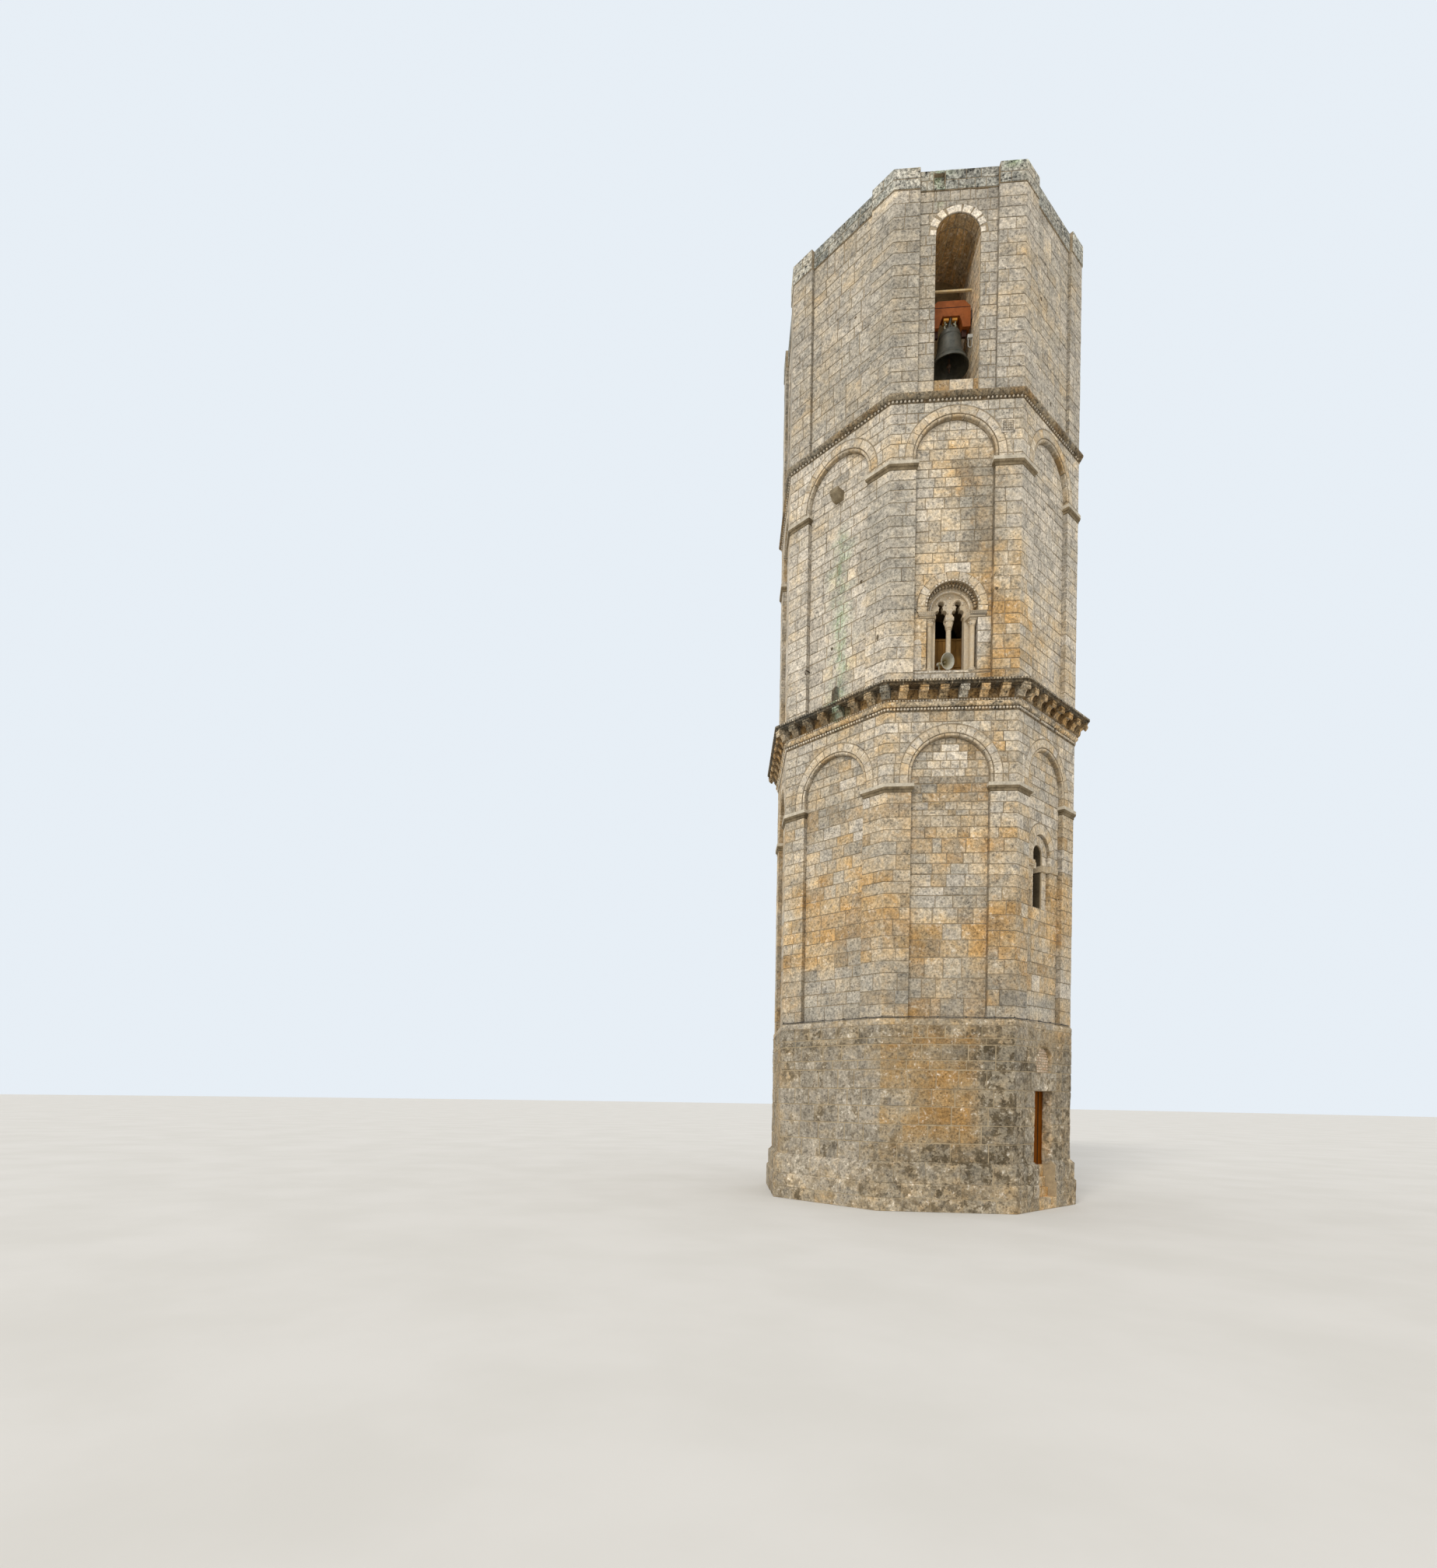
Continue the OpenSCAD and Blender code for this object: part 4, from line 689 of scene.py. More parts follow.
def ringWall(pile, depth, levels, zone, widths, arms, holes=None, back=-0.03, rough=0.0, gap=0.010, proud=0.010):
    # courses right round the tower: corner stones turn the arris and the rest lie between them
    dice = pile.dice
    base = (apothem - depth) * tangent
    table = {face: [(dice.uniform(*arms), dice.uniform(*arms)) for _ in levels] for face in faces}
    for face in faces:
        for k, (low, high) in enumerate(pairs(levels)):
            left, right = table[face][k]
            for side, neighbour in ((0, face), (1, (face + 45) % 360)):
                hole = (holes or {}).get(neighbour)
                if hole:
                    half = max([half for bottom, top, half in hole["bands"]
                                if bottom < high - 0.02 and top > low + 0.02] + [0])
                    centre, radius = hole["arc"]
                    if centre - 0.02 <= low < centre + radius:
                        half = max(half, sqrt(radius ** 2 - (low - centre) ** 2))
                    room = base - half - 0.13
                    if half and side == 0:
                        left = min(left, room)
                    elif half:
                        right = min(right, room)
            table[face][k] = (left, right)
            tone = cornerTone(dice, zone, face, 0, (low + high) / 2)
            block(pile, corner(face, depth), -left, right, low + gap / 2, high - gap / 2, tone,
                  proud + dice.uniform(-0.002, 0.003), back, rough=rough, folds=arrisFolds)
    for face in faces:
        def limits(k):
            return -base + table[(face - 45) % 360][k][1] + gap, base - table[face][k][0] - gap
        fill(pile, flat(face, depth), levels, limits, widths, lambda t, z: toneAt(dice, zone, face, t, z),
             hole=(holes or {}).get(face), back=back, gap=gap, rough=rough, double=0.0, proud=proud)


def strips(pile, zone, low, high, heights, depthBehind):
    # the pilasters: stones that turn the corner, some with an edge stone beside them, back to the panels
    dice, full, gap = pile.dice, 0.615 + 0.008, 0.009
    for face in faces:
        levels = courses(dice, low, high, *heights)
        for lo, hi in ((a + gap / 2, b - gap / 2) for a, b in pairs(levels)):
            left = right = full
            kind = dice.random()
            if kind < 0.34:
                left = dice.uniform(0.22, 0.42)
            elif kind < 0.68:
                right = dice.uniform(0.22, 0.42)
            elif kind < 0.90:
                left, right = dice.uniform(0.20, 0.40), dice.uniform(0.20, 0.40)
            middle = (lo + hi) / 2
            tone = cornerTone(dice, zone, face, 0.3, middle)
            behind = -depthBehind - 0.002
            bump = 0.010 + dice.uniform(-0.002, 0.004)
            block(pile, corner(face, 0), -left, right, lo, hi, tone, bump, behind, folds=arrisFolds)
            if left < full:
                tone = toneAt(dice, zone, face, halfSide - 0.45, middle)
                block(pile, corner(face, 0), -full, -left - gap, lo, hi, tone, 0.010, behind)
            if right < full:
                tone = toneAt(dice, zone, face + 45, 0.45 - halfSide, middle)
                block(pile, corner(face, 0), right + gap, full, lo, hi, tone, 0.010, behind)


def layRow(pile, where, cuts, low, high, gap, toneOf, proud=0.010, back=-0.012, **more):  # blocks between cuts
    for one, two in pairs(cuts):
        block(pile, where, one + gap, two - gap, low, high, toneOf(one), proud, back, **more)


def around(x, z, radius, angles):  # points on a circle, angles in radians
    return [(x + radius * cos(a), z + radius * sin(a)) for a in angles]


def halfTurn(steps):  # angles of a round arch, end to end
    return [pi * k / steps for k in range(steps + 1)]


def archSteps(count, shift=0.5):  # angles of even steps between the ends
    return [pi * (k + shift) / count for k in range(count)]


def voussoirs(pile, where, centre, inner, outer, count, toneOf, back=-0.03, proud=0.010):
    dice, uneven, half = pile.dice, 0.24, 0.004 / inner
    cuts = [pi * (k + (dice.uniform(-uneven, uneven) if 0 < k < count else 0)) / count for k in range(count + 1)]
    for k in range(count):
        a, b = cuts[k] + half, cuts[k + 1] - half
        angles = [a + (b - a) * i / 4 for i in range(5)]
        outline = around(0, centre, inner, angles)
        outline += around(0, centre, outer + dice.uniform(-0.012, 0.0), reversed(angles))
        cutBlock(pile, where, outline, toneOf(*around(0, centre, inner, [(a + b) / 2])[0]), proud, back)


print("walls: base storey")
doorHole = {"bands": [(1.16, 2.92, 0.474), (2.92, 3.38, 0.70), (3.38, lunetteSpring, 0.425)],
            "arc": (lunetteSpring, 0.425)}
baseStones = Pile("baseStones", 11)
baseLevels = [1.16, 1.62, 2.06, 2.50, 2.92, 3.38, lunetteSpring, 3.99, 4.15, 4.46]
ringWall(baseStones, -0.03, baseLevels, "base", lambda z: (0.42, 0.85) if z < 4.1 else (0.35, 0.7), (0.38, 0.75),
         {45: doorHole}, back=-0.24, rough=0.016, gap=0.018, proud=0.012)
for side in (-1, 1):  # the two reveals in front of the leaves
    levels = (1.07, 1.42, 1.86, 2.31, 2.62, 2.915)
    for low, high in pairs(levels):
        block(baseStones, reveal(45, side, 0.48), -0.015, 0.196, low + 0.008, high - 0.008,
              (0.35, 0.35, baseStones.dice.uniform(0.9, 1.15)), 0.010, rough=0.010)
block(baseStones, flat(45, -0.03), -0.695, 0.695, 2.926, 3.374, (0.12, 0.55, 1.06), 0.014, -0.20, rough=0.008)
block(baseStones, flat(45, -0.18), -1.02, -0.49, 0.655, 1.13, (0.1, 0.75, 1.0), 0.022, -0.12, rim=0.05, rough=0.02)
block(baseStones, flat(45, -0.18), -0.80, -0.49, 0.30, 0.63, (0.05, 0.2, 1.12), 0.014, -0.05, rim=0.02, rough=0.01)
baseStones.build(roughStone, "rough_stone")

plinthStones = Pile("plinthStones", 12)


def plinthTone(face, t, z):
    ochre, grey, bright = toneAt(plinthStones.dice, "base", face, t, z)
    return ochre * 0.8, min(1.0, grey + 0.12), bright * (1.10 if z < 0.7 else 1.18)


def notch(face, left, right):
    return (-0.486, 0.486) if face == 45 and left < 0 < right else None


# section and length of the stones in each row of the plinth
plinthRows = [
    ([(0.02, 0.0), (0.188, 0.006), (0.190, 0.10), (0.190, 0.21), (0.186, 0.306), (0.02, 0.312)], 0.72),
    ([(0.02, 0.318), (0.186, 0.322), (0.190, 0.42), (0.190, 0.53), (0.186, 0.622), (0.150, 0.664), (0.02, 0.668)],
     0.62),
    ([(0.02, 0.674), (0.141, 0.672), (0.145, 0.80), (0.145, 0.93), (0.143, 1.075), (0.048, 1.172), (0.02, 1.176)],
     0.66)]
for section, pitch in plinthRows:
    runRound(plinthStones, section, plinthTone, pitch, 0.014, notch, 0.014)
plinthStones.build(roughStone, "rough_stone")

stepStones = Pile("stepStones", 13)
# depth of each step's front, its low and high, and its joints
stepRows = [(-0.18, 0.0, 0.27, (-0.47, -0.12, 0.18, 0.47)), (0.03, 0.27, 0.498, (-0.47, 0.06, 0.47)),
            (0.11, 0.498, 0.758, (-0.47, -0.16, 0.47)), (0.165, 0.758, 1.06, (-0.47, 0.1, 0.47))]
for front, low, high, cuts in stepRows:
    layRow(stepStones, flat(45, front), cuts, low + 0.004, high + 0.008, 0.004,
           lambda t: (toneAt(stepStones.dice, "base", 45, t, low)[0] * 0.9 + 0.2, 0.05, 1.25), 0.010,
           -(0.20 - front), rim=0.018, rough=0.006)
stepStones.build(roughStone, "grey_stone")

lunetteBricks = Pile("lunetteBricks", 14, False)
brickLevels = [3.383, 3.45, 3.517, 3.584, 3.651, 3.718, 3.785, 3.852, 3.919, 3.986, 4.04]
fill(lunetteBricks, flat(45, 0.06), brickLevels, lambda k: (-0.418, 0.418), lambda z: (0.17, 0.26),
     lambda t, z: (lunetteBricks.dice.random(), lunetteBricks.dice.uniform(0, 0.5),
                   lunetteBricks.dice.uniform(1.05, 1.28)), arch=(lunetteSpring, 0.420), back=-0.02, gap=0.010,
     double=0.0, proud=0.006)
brickLook = {**limeLook, "stops": [(0.0, (0.640, 0.500, 0.370)), (0.5, (0.620, 0.420, 0.280)),
                                   (0.8, (0.540, 0.340, 0.215)), (1.0, (0.660, 0.560, 0.430))],
             "grey": (0.480, 0.420, 0.340), "pale": 0.8}
lunetteBricks.build(stoneFinish("thinBrick", brickLook), "brick")

print("walls: lower and upper storey")
arches = {"lower": {"centre": lowerSpring, "foot": 10.24, "ring": 1.21, "count": 15,
                    "levels": [10.24, lowerSpring, 10.72, 10.98, 11.22, 11.46, 11.71, 11.96]},
          "upper": {"centre": upperSpring, "foot": 17.98, "ring": 1.20, "count": 11,
                    "levels": [17.98, upperSpring, 18.40, 18.64, 18.88, 19.12, 19.36]}}
# stones of a fixed tone: face, left, right, low, high, tone
whites = [(0, -0.21, 0.22, 11.04, 11.22, (0.0, 0.0, 1.18)), (0, -0.40, 0.41, 10.84, 11.04, (0.0, 0.0, 1.16)),
          (0, -0.53, 0.43, 10.63, 10.83, (0.12, 0.05, 1.10)), (0, -0.43, 0.36, 10.44, 10.62, (0.16, 0.08, 1.10)),
          (0, -1.5, -0.95, 23.7, 24.3, (0.0, 0.0, 1.15)), (0, -0.12, 0.20, 15.40, 15.66, (0.0, 0.0, 1.10)),
          (45, -1.05, 0.56, 4.72, 5.12, (0.0, 1.0, 1.12)), (0, 0.55, 0.95, 13.72, 14.28, (0.15, 0.0, 1.05)),
          (0, -0.95, -0.55, 13.8, 14.28, (0.30, 0.0, 1.02)), (0, -0.95, 0.60, 12.92, 13.02, (0.0, 0.1, 1.12)),
          (0, -0.95, 0.60, 12.55, 12.93, (0.10, 0.40, 1.05)), (315, 0.30, 1.2, 14.6, 15.4, (0.05, 0.1, 1.14)),
          (315, 0.5, 1.3, 9.1, 9.6, (0.05, 0.1, 1.12))]


def panelLimits(k):
    return -panelHalf, panelHalf


def wallTone(pile, zone, face):
    def tone(t, z):
        for whiteFace, left, right, low, high, fixed in whites:
            if whiteFace == face and left < t < right and low < z < high:
                return fixed
        return toneAt(pile.dice, zone, face, t, z)
    return tone


sideHole = {"bands": [(sideSill, 8.47, 0.474), (8.47, 8.62, 0.836), (8.62, sideSpring, 0.745)],
            "arc": (sideSpring, 0.745)}
twinHole = {"bands": [(twinSill, 14.27, 0.594), (14.27, 14.40, 0.80), (14.40, twinSpring, 0.835)],
            "arc": (twinSpring, 0.838)}
frontLevels = [baseTop, 5.11, 5.59, 6.09, 6.51, 6.90, 7.28, 7.58, 7.79, 8.09, 8.35, 8.60, 8.96, 9.23, 9.50, 9.64,
               9.83, 10.05, 10.27, 10.44, 10.63, 10.83, 11.04, 11.22, 11.41]
tympanumCuts = {19: (-0.62, -0.43, -0.13, 0.13, 0.36, 0.62), 20: (-0.53, -0.22, 0.02, 0.24, 0.43, 0.66),
                21: (-0.55, -0.40, -0.08, 0.41, 0.60), 22: (-0.42, -0.21, 0.22, 0.42),
                18: (-0.72, -0.36, -0.24, 0.17, 0.58)}
lowerStones, upperStones, ringStones = Pile("lowerStones", 21), Pile("upperStones", 22), Pile("archStones", 23, False)
strips(lowerStones, "lower", baseTop, 10.04, (0.36, 0.29), panelDepth)
strips(upperStones, "upper", corniceTop, 17.78, (0.30, 0.29), panelDepth)
for face in faces:
    hole = sideHole if face in sideFaces else None
    fixed = (sideSill, 8.47, 8.62, sideSpring, 9.62) if hole else (lowerSpring,)
    levels = frontLevels if face == 0 else courses(lowerStones.dice, baseTop, 11.42, 0.40, 0.23, fixed)
    back = -0.095 if hole else -0.03
    fill(lowerStones, flat(face, panelDepth), levels, panelLimits, lambda z: (0.30, 0.72) if z < 8 else (0.24, 0.55),
         wallTone(lowerStones, "lower", face), (lowerSpring, panelArch), hole, back,
         given=tympanumCuts if face == 0 else None, double=0.05)
    hole = twinHole if face in twinFaces else None
    fixed = (12.93, twinSill, 14.27, 14.40, twinSpring, 15.32) if hole else (upperSpring,)
    levels = courses(upperStones.dice, corniceTop, 19.01, 0.30, 0.23, fixed)
    fill(upperStones, flat(face, panelDepth), levels, panelLimits, lambda z: (0.26, 0.52),
         wallTone(upperStones, "upper", face), (upperSpring, panelArch), hole, -0.21 if hole else -0.03, double=0.08)
    for look in arches.values():
        voussoirs(ringStones, flat(face, 0), look["centre"], ringInner, look["ring"] - 0.01, look["count"],
                  lambda t, z: toneAt(ringStones.dice, "arch", face, t, z))
        for side in (-1, 1):
            limits = sorted((side * ringInner, side * (look["ring"] - 0.012)))
            tone = toneAt(ringStones.dice, "arch", face, side, look["foot"])
            block(ringStones, flat(face, 0), *limits, look["foot"] + 0.006, look["centre"] - 0.006, tone)
for zone, pile in (("lower", lowerStones), ("upper", upperStones)):
    look = arches[zone]
    hole = {"bands": [(look["foot"], look["centre"], look["ring"])], "arc": (look["centre"], look["ring"])}
    ringWall(pile, 0, look["levels"], zone, lambda z: (0.22, 0.45), (0.18, 0.42), {face: hole for face in faces})
sideTone = lambda t, z: toneAt(ringStones.dice, "arch", 45, t, z)
for face in sideFaces:
    voussoirs(ringStones, flat(face, panelDepth), sideSpring, 0.474, 0.735, 9, sideTone, -0.095)
    for side in (-1, 1):
        block(ringStones, flat(face, panelDepth), *sorted((side * 0.474, side * 0.733)), 8.626, 8.864,
              sideTone(side, 8.7), 0.010, -0.095)
for face in twinFaces:
    voussoirs(ringStones, flat(face, 0.09), twinSpring, 0.644, 0.835, 9,
              lambda t, z: toneAt(ringStones.dice, "arch", face, t, z), -0.12, proud=0.008)
    for side in (-1, 1):
        block(ringStones, flat(face, 0.09), *sorted((side * 0.600, side * 0.828)), 14.404, 14.526,
              sideTone(side, 14.4), 0.008, -0.12)
lowerStones.build(limestone, "limestone")
upperStones.build(limestone, "limestone")
ringStones.build(paleStone, "pale_stone")

print("rolls, beads and courses")
rolls = Pile("archRollStones", 31, False)


def rollRing(face, centre, angle, z=None, swell=1.0):
    # section of the round moulding: two seat corners behind, a round in front
    radius, seat = rollRadius, 0.119
    made = [(-radius, seat), (-radius, radius * 0.9)]
    for a in range(20, 180, 20):
        across, deep = cos(radians(a)), sin(radians(a))
        made.append((-across * radius * swell, radius - 0.003 - deep * radius * swell))
    made += [(radius, radius * 0.9), (radius, seat)]
    ring = []
    for across, depth in made:
        reach = rollReach + across
        if z is None:
            ring.append(onFace(face, reach * cos(angle), depth, centre + reach * sin(angle)))
        else:
            ring.append(onFace(face, copysign(reach, cos(angle)), depth, z))
    return ring


for face in faces:
    for centre, foot in ((lowerSpring, 10.243), (upperSpring, 17.983)):
        cut = 0.0
        for side in (0.0, pi):
            tone = toneAt(rolls.dice, "arch", face, cos(side), foot)
            loft(rolls, [rollRing(face, centre, side, foot), rollRing(face, centre, side, centre - 0.004)], tone)
        while cut < pi - 0.01:
            end = min(pi, cut + rolls.dice.uniform(0.28, 0.50))
            if pi - end < 0.2:
                end = pi
            a, b = cut + 0.005, end - 0.005
            count = max(2, round((b - a) / 0.11))
            rings = [rollRing(face, centre, a, swell=0.9)]
            rings += [rollRing(face, centre, a + 0.006 + (b - a - 0.012) * k / count) for k in range(count + 1)]
            rings.append(rollRing(face, centre, b, swell=0.9))
            tone = toneAt(rolls.dice, "arch", face, cos((a + b) / 2), centre + sin((a + b) / 2))
            # painted shade: the roll's flanks darker, for the recess it sits in
            loft(rolls, rings, (min(1.0, tone[0] + 0.12), tone[1] + 0.1, tone[2] * 0.96),
                 flankShade=[1.0, 1.0, 0.9, 0.5, 0.1, 0.0, 0.0, 0.1, 0.5, 0.9, 1.0, 1.0])
            cut = end
rolls.build(paleStone, "pale_stone", ("arch_rolls",))


def arcPoints(centre, radius, start, end, count):  # angles in degrees
    return around(*centre, radius, [radians(start + (end - start) * k / count) for k in range(count + 1)])


def sphere(pile, middle, radius, tone, across, up):
    points, shapes = [middle + Vector((0, 0, radius))], []
    for j in range(1, up):
        b = pi * j / up
        for i in range(across):
            a = 2 * pi * i / across
            points.append(middle + radius * Vector((sin(b) * cos(a), sin(b) * sin(a), cos(b))))
    points.append(middle - Vector((0, 0, radius)))
    last = len(points) - 1
    for i in range(across):
        n = (i + 1) % across
        shapes += [(0, 1 + i, 1 + n), (last, last - across + n, last - across + i)]
        shapes += [(1 + j * across + i, 1 + (j + 1) * across + i, 1 + (j + 1) * across + n, 1 + j * across + n)
                   for j in range(up - 2)]
    pile.add(points, shapes, tone, [0.0] * len(points))


threeRings = [(3, 2, 1, 0), (8, 9, 10, 11)]  # faces between a back, a middle and a front of four points each
threeRings += [(a + k, a + (k + 1) % 4, a + 4 + (k + 1) % 4, a + 4 + k) for a in (0, 4) for k in range(4)]


def wedge(pile, where, left, right, low, high, front, back, tone, taper=0.15):
    # a small block whose front is a little smaller
    du, dv = (right - left) * taper, (high - low) * taper
    full = ((left, low), (right, low), (right, high), (left, high))
    less = ((left + du, low + dv), (right - du, low + dv), (right - du, high - dv), (left + du, high - dv))
    points = [where(u, v, back) for u, v in full] + [where(u, v, front - min(du, dv) * 0.6) for u, v in full]
    pile.add(points + [where(u, v, front) for u, v in less], threeRings, tone, [1.0] * 8 + [0.0] * 4)


def tinted(pile, zone, factors, spread=1.0):  # a zone's tones, each part times a factor
    return lambda face, t, z: tuple(x * y for x, y in zip(toneAt(pile.dice, zone, face, t, z, spread), factors))


baseCourse = Pile("baseCourseStones", 32)
runRound(baseCourse, [(-0.02, 4.463), (0.036, 4.463), (0.038, 4.50), (0.036, 4.556), (0.012, 4.606), (-0.02, 4.616)],
         tinted(baseCourse, "base", (0.7, 0.35, 1.14)), 0.75, 0.012)
baseCourse.build(roughStone, "grey_stone")
torusStones = Pile("torusStones", 33, False)
# the seat behind the beads is toned dark: partly dirt, partly painted shade of the hollow
seat = [(-0.02, 11.964), (0.014, 11.964), (0.015, 12.01), (0.015, 12.068), (-0.02, 12.07)]
runRound(torusStones, seat, lambda face, t, z: (0.9, 0.45, 0.40), 0.55, 0.008)
roll = [(-0.02, 12.074)] + arcPoints((0.021, 12.128), 0.059, -80, 80, 8) + [(-0.02, 12.183)]
runRound(torusStones, roll, tinted(torusStones, "torus", (1, 1, 1), 0.8), 0.62, 0.010)
runRound(torusStones, [(-0.02, 12.187), (0.033, 12.187), (0.035, 12.236), (-0.02, 12.238)],
         tinted(torusStones, "torus", (1, 1, 0.6), 0.8), 0.6, 0.008)
stringStones = Pile("stringStones", 34)
# the seat behind the beads is toned dark: partly dirt, partly painted shade of the hollow
runRound(stringStones, [(-0.02, 19.364), (0.014, 19.364), (0.015, 19.40), (0.015, 19.438), (-0.02, 19.44)],
         lambda face, t, z: (0.9, 0.5, 0.34), 0.6, 0.008)
roll = [(-0.02, 19.444)] + arcPoints((0.018, 19.52), 0.083, -75, 62, 9) + [(0.004, 19.604), (-0.02, 19.606)]
runRound(stringStones, roll, tinted(stringStones, "mould", (1.5, 0.8, 0.74)), 0.58, 0.010)


def spaced(reach, pitch):  # even places from -reach to reach, about a pitch apart
    count = round(2 * reach / pitch)
    return [-reach + 2 * reach * (k + 0.5) / count for k in range(count)]


beads = Pile("beadRows", 35, False)
for face in faces:
    for z, pitch, out, radius in ((12.018, 0.080, 0.022, 0.0275), (19.402, 0.098, 0.022, 0.0275)):
        for t in spaced((apothem + out) * tangent, pitch):
            if beads.dice.random() < 0.97:
                tone = (beads.dice.uniform(0.0, 0.3), beads.dice.uniform(0.0, 0.25), 1.28 if z < 15 else 1.0)
                sphere(beads, onFace(face, t, -out, z + beads.dice.uniform(-0.002, 0.002)), radius, tone, 8, 4)
    for t in spaced(halfSide, 0.068):
        wedge(beads, flat(face, -0.035), t - 0.019, t + 0.019, 12.192, 12.234, 0.010, -0.004,
              (0.2, 0.0, beads.dice.uniform(1.05, 1.25)))
torusStones.build(mouldStone, "pale_stone")
stringStones.build(mouldStone, "grey_stone")
beads.build(paleStone, "pale_stone", smooth=False)

print("corbels and cornice")
corbels = Pile("carvedCorbels", 36, False)


def relief(kind, x, s):  # height of the carving at x from -1 to 1 across and s from 0 to 1 upwards
    y = (s - 0.52) * 2.6
    r, a = hypot(x, y), atan2(y, x)
    if kind == 0:  # rosette
        return 0.020 * max(0.0, 1 - r * 0.9) * (0.6 + 0.4 * cos(6 * a)) + (0.012 if r < 0.25 else 0.0)
    if kind == 1:  # folded leaf
        fold = 0.018 * max(0.0, 1 - abs(x) * 0.8) * (0.55 + 0.45 * cos(9 * x + 2 * s))
        return fold + (0.010 if 0.62 < s < 0.78 else 0.0)
    if kind == 2:  # knot
        return 0.013 * (cos(7 * (x + y)) * cos(7 * (x - y)) + 0.6) * (1 if abs(x) < 0.9 and abs(y) < 1.1 else 0)
    if kind == 3:  # two volutes
        side = hypot(abs(x) - 0.48, y)
        return 0.018 * (0.5 + 0.5 * cos(12 * side - 2)) * max(0.0, 1 - side * 1.2)
    if kind == 4:  # flutes
        return 0.010 * (1 + cos(12 * x)) * (1 if s < 0.8 else 0)
    return 0.026 * max(0.0, 1 - r * 1.1)  # boss


def corbel(where, out, kind, tone):  # where(across, out, z)
    low, high, half = 12.244, 12.486, 0.103
    h = high - low
    line = [(out * 0.35, low)] + arcPoints((out * 0.95, low), out * 0.6, 180, 110, 5)
    line += arcPoints((out * 0.78, low + 0.62 * h), out * 0.22, -60, 60, 5)
    line += [(out + 0.004, high - 0.18 * h), (out + 0.004, high)]
    rings = []
    xs = [-1.0, -0.94, -0.75, -0.55, -0.35, -0.15, 0.0, 0.15, 0.35, 0.55, 0.75, 0.94, 1.0]
    for k, x in enumerate(xs):
        ring = [where(x * half, -0.02, low)]
        for i, (reach, z) in enumerate(line):
            s = i / (len(line) - 1)
            lift = relief(kind, x, s) if 0.05 < s < 0.9 and abs(x) < 0.93 else 0.0
            ring.append(where(x * half, reach + lift + (0.004 if abs(x) < 0.99 else -0.002), z))
        rings.append(ring + [where(x * half, -0.02, high)])
    loft(corbels, rings, tone, [1.0, 0.4] + [0.0] * 9 + [0.4, 1.0])
    for k in range(5):  # row of small pearls under the head
        x = (k - 2) * half * 0.36
        sphere(corbels, where(x, out + 0.006, high - 0.052), 0.010, tone, 6, 4)


for face in faces:
    for k in range(6):
        t = 0.47028 * (k - 2.5)
        tone = toneAt(corbels.dice, "mould", face, t, 12.4)
        if (face, k) in ((0, 3), (315, 3)):
            tone = (0.1, 0.5, 1.2) if face == 0 else (0.2, 0.95, 0.85)
        else:
            tone = (tone[0] * 1.3 + 0.32, tone[1] * (0.9 if face == 315 else 0.2),
                    tone[2] * (1.15 if face == 315 else 1.3))
        corbel(lambda across, out, z, face=face, t=t: onFace(face, t + across, -out, z), 0.262,
               corbels.dice.choice((0, 1, 2, 3, 3, 1, 4, 5)), tone)

    def diagonal(across, out, z, face=face):
        a = radians(face + 22.5)
        reach = apothem / cos(radians(22.5)) + out
        return Vector((sin(a) * reach + cos(a) * across, -cos(a) * reach + sin(a) * across, z))
    tone = toneAt(corbels.dice, "mould", face, halfSide, 12.4)
    tone = (0.2, 0.95, 0.75) if face == 315 else (tone[0] * 1.4, tone[1] * 0.4, tone[2] * 1.3)
    corbel(diagonal, 0.284, corbels.dice.choice((1, 3, 5)), tone)
corbels.build(mouldStone, "grey_stone")
friezeStones = Pile("friezeStones", 37, False)
runRound(friezeStones, [(-0.02, 12.244), (0.008, 12.244), (0.009, 12.36), (0.008, 12.484), (-0.02, 12.484)],
         tinted(friezeStones, "mould", (2.6, 0.1, 0.84)), 0.47, 0.010)
friezeStones.build(mouldStone, "grey_stone")
corniceStones = Pile("corniceStones", 38)
slab = [(0.05, 12.487), (0.29, 12.487), (0.292, 12.527), (0.324, 12.538), (0.326, 12.572), (0.322, 12.594),
        (0.16, 12.600), (-0.02, 12.606), (-0.02, 12.50)]
runRound(corniceStones, slab, tinted(corniceStones, "mould", (1.5, 1.0, 0.40)), 0.62, 0.010)
for face in faces:
    for t in spaced((apothem + 0.322) * tangent, 0.07):
        wedge(corniceStones, flat(face, -0.322), t - 0.021, t + 0.021, 12.545, 12.590, 0.014, -0.003,
              (0.3, 0.3, corniceStones.dice.uniform(0.65, 1.0)))
corniceStones.build(mouldStone, "grey_stone")

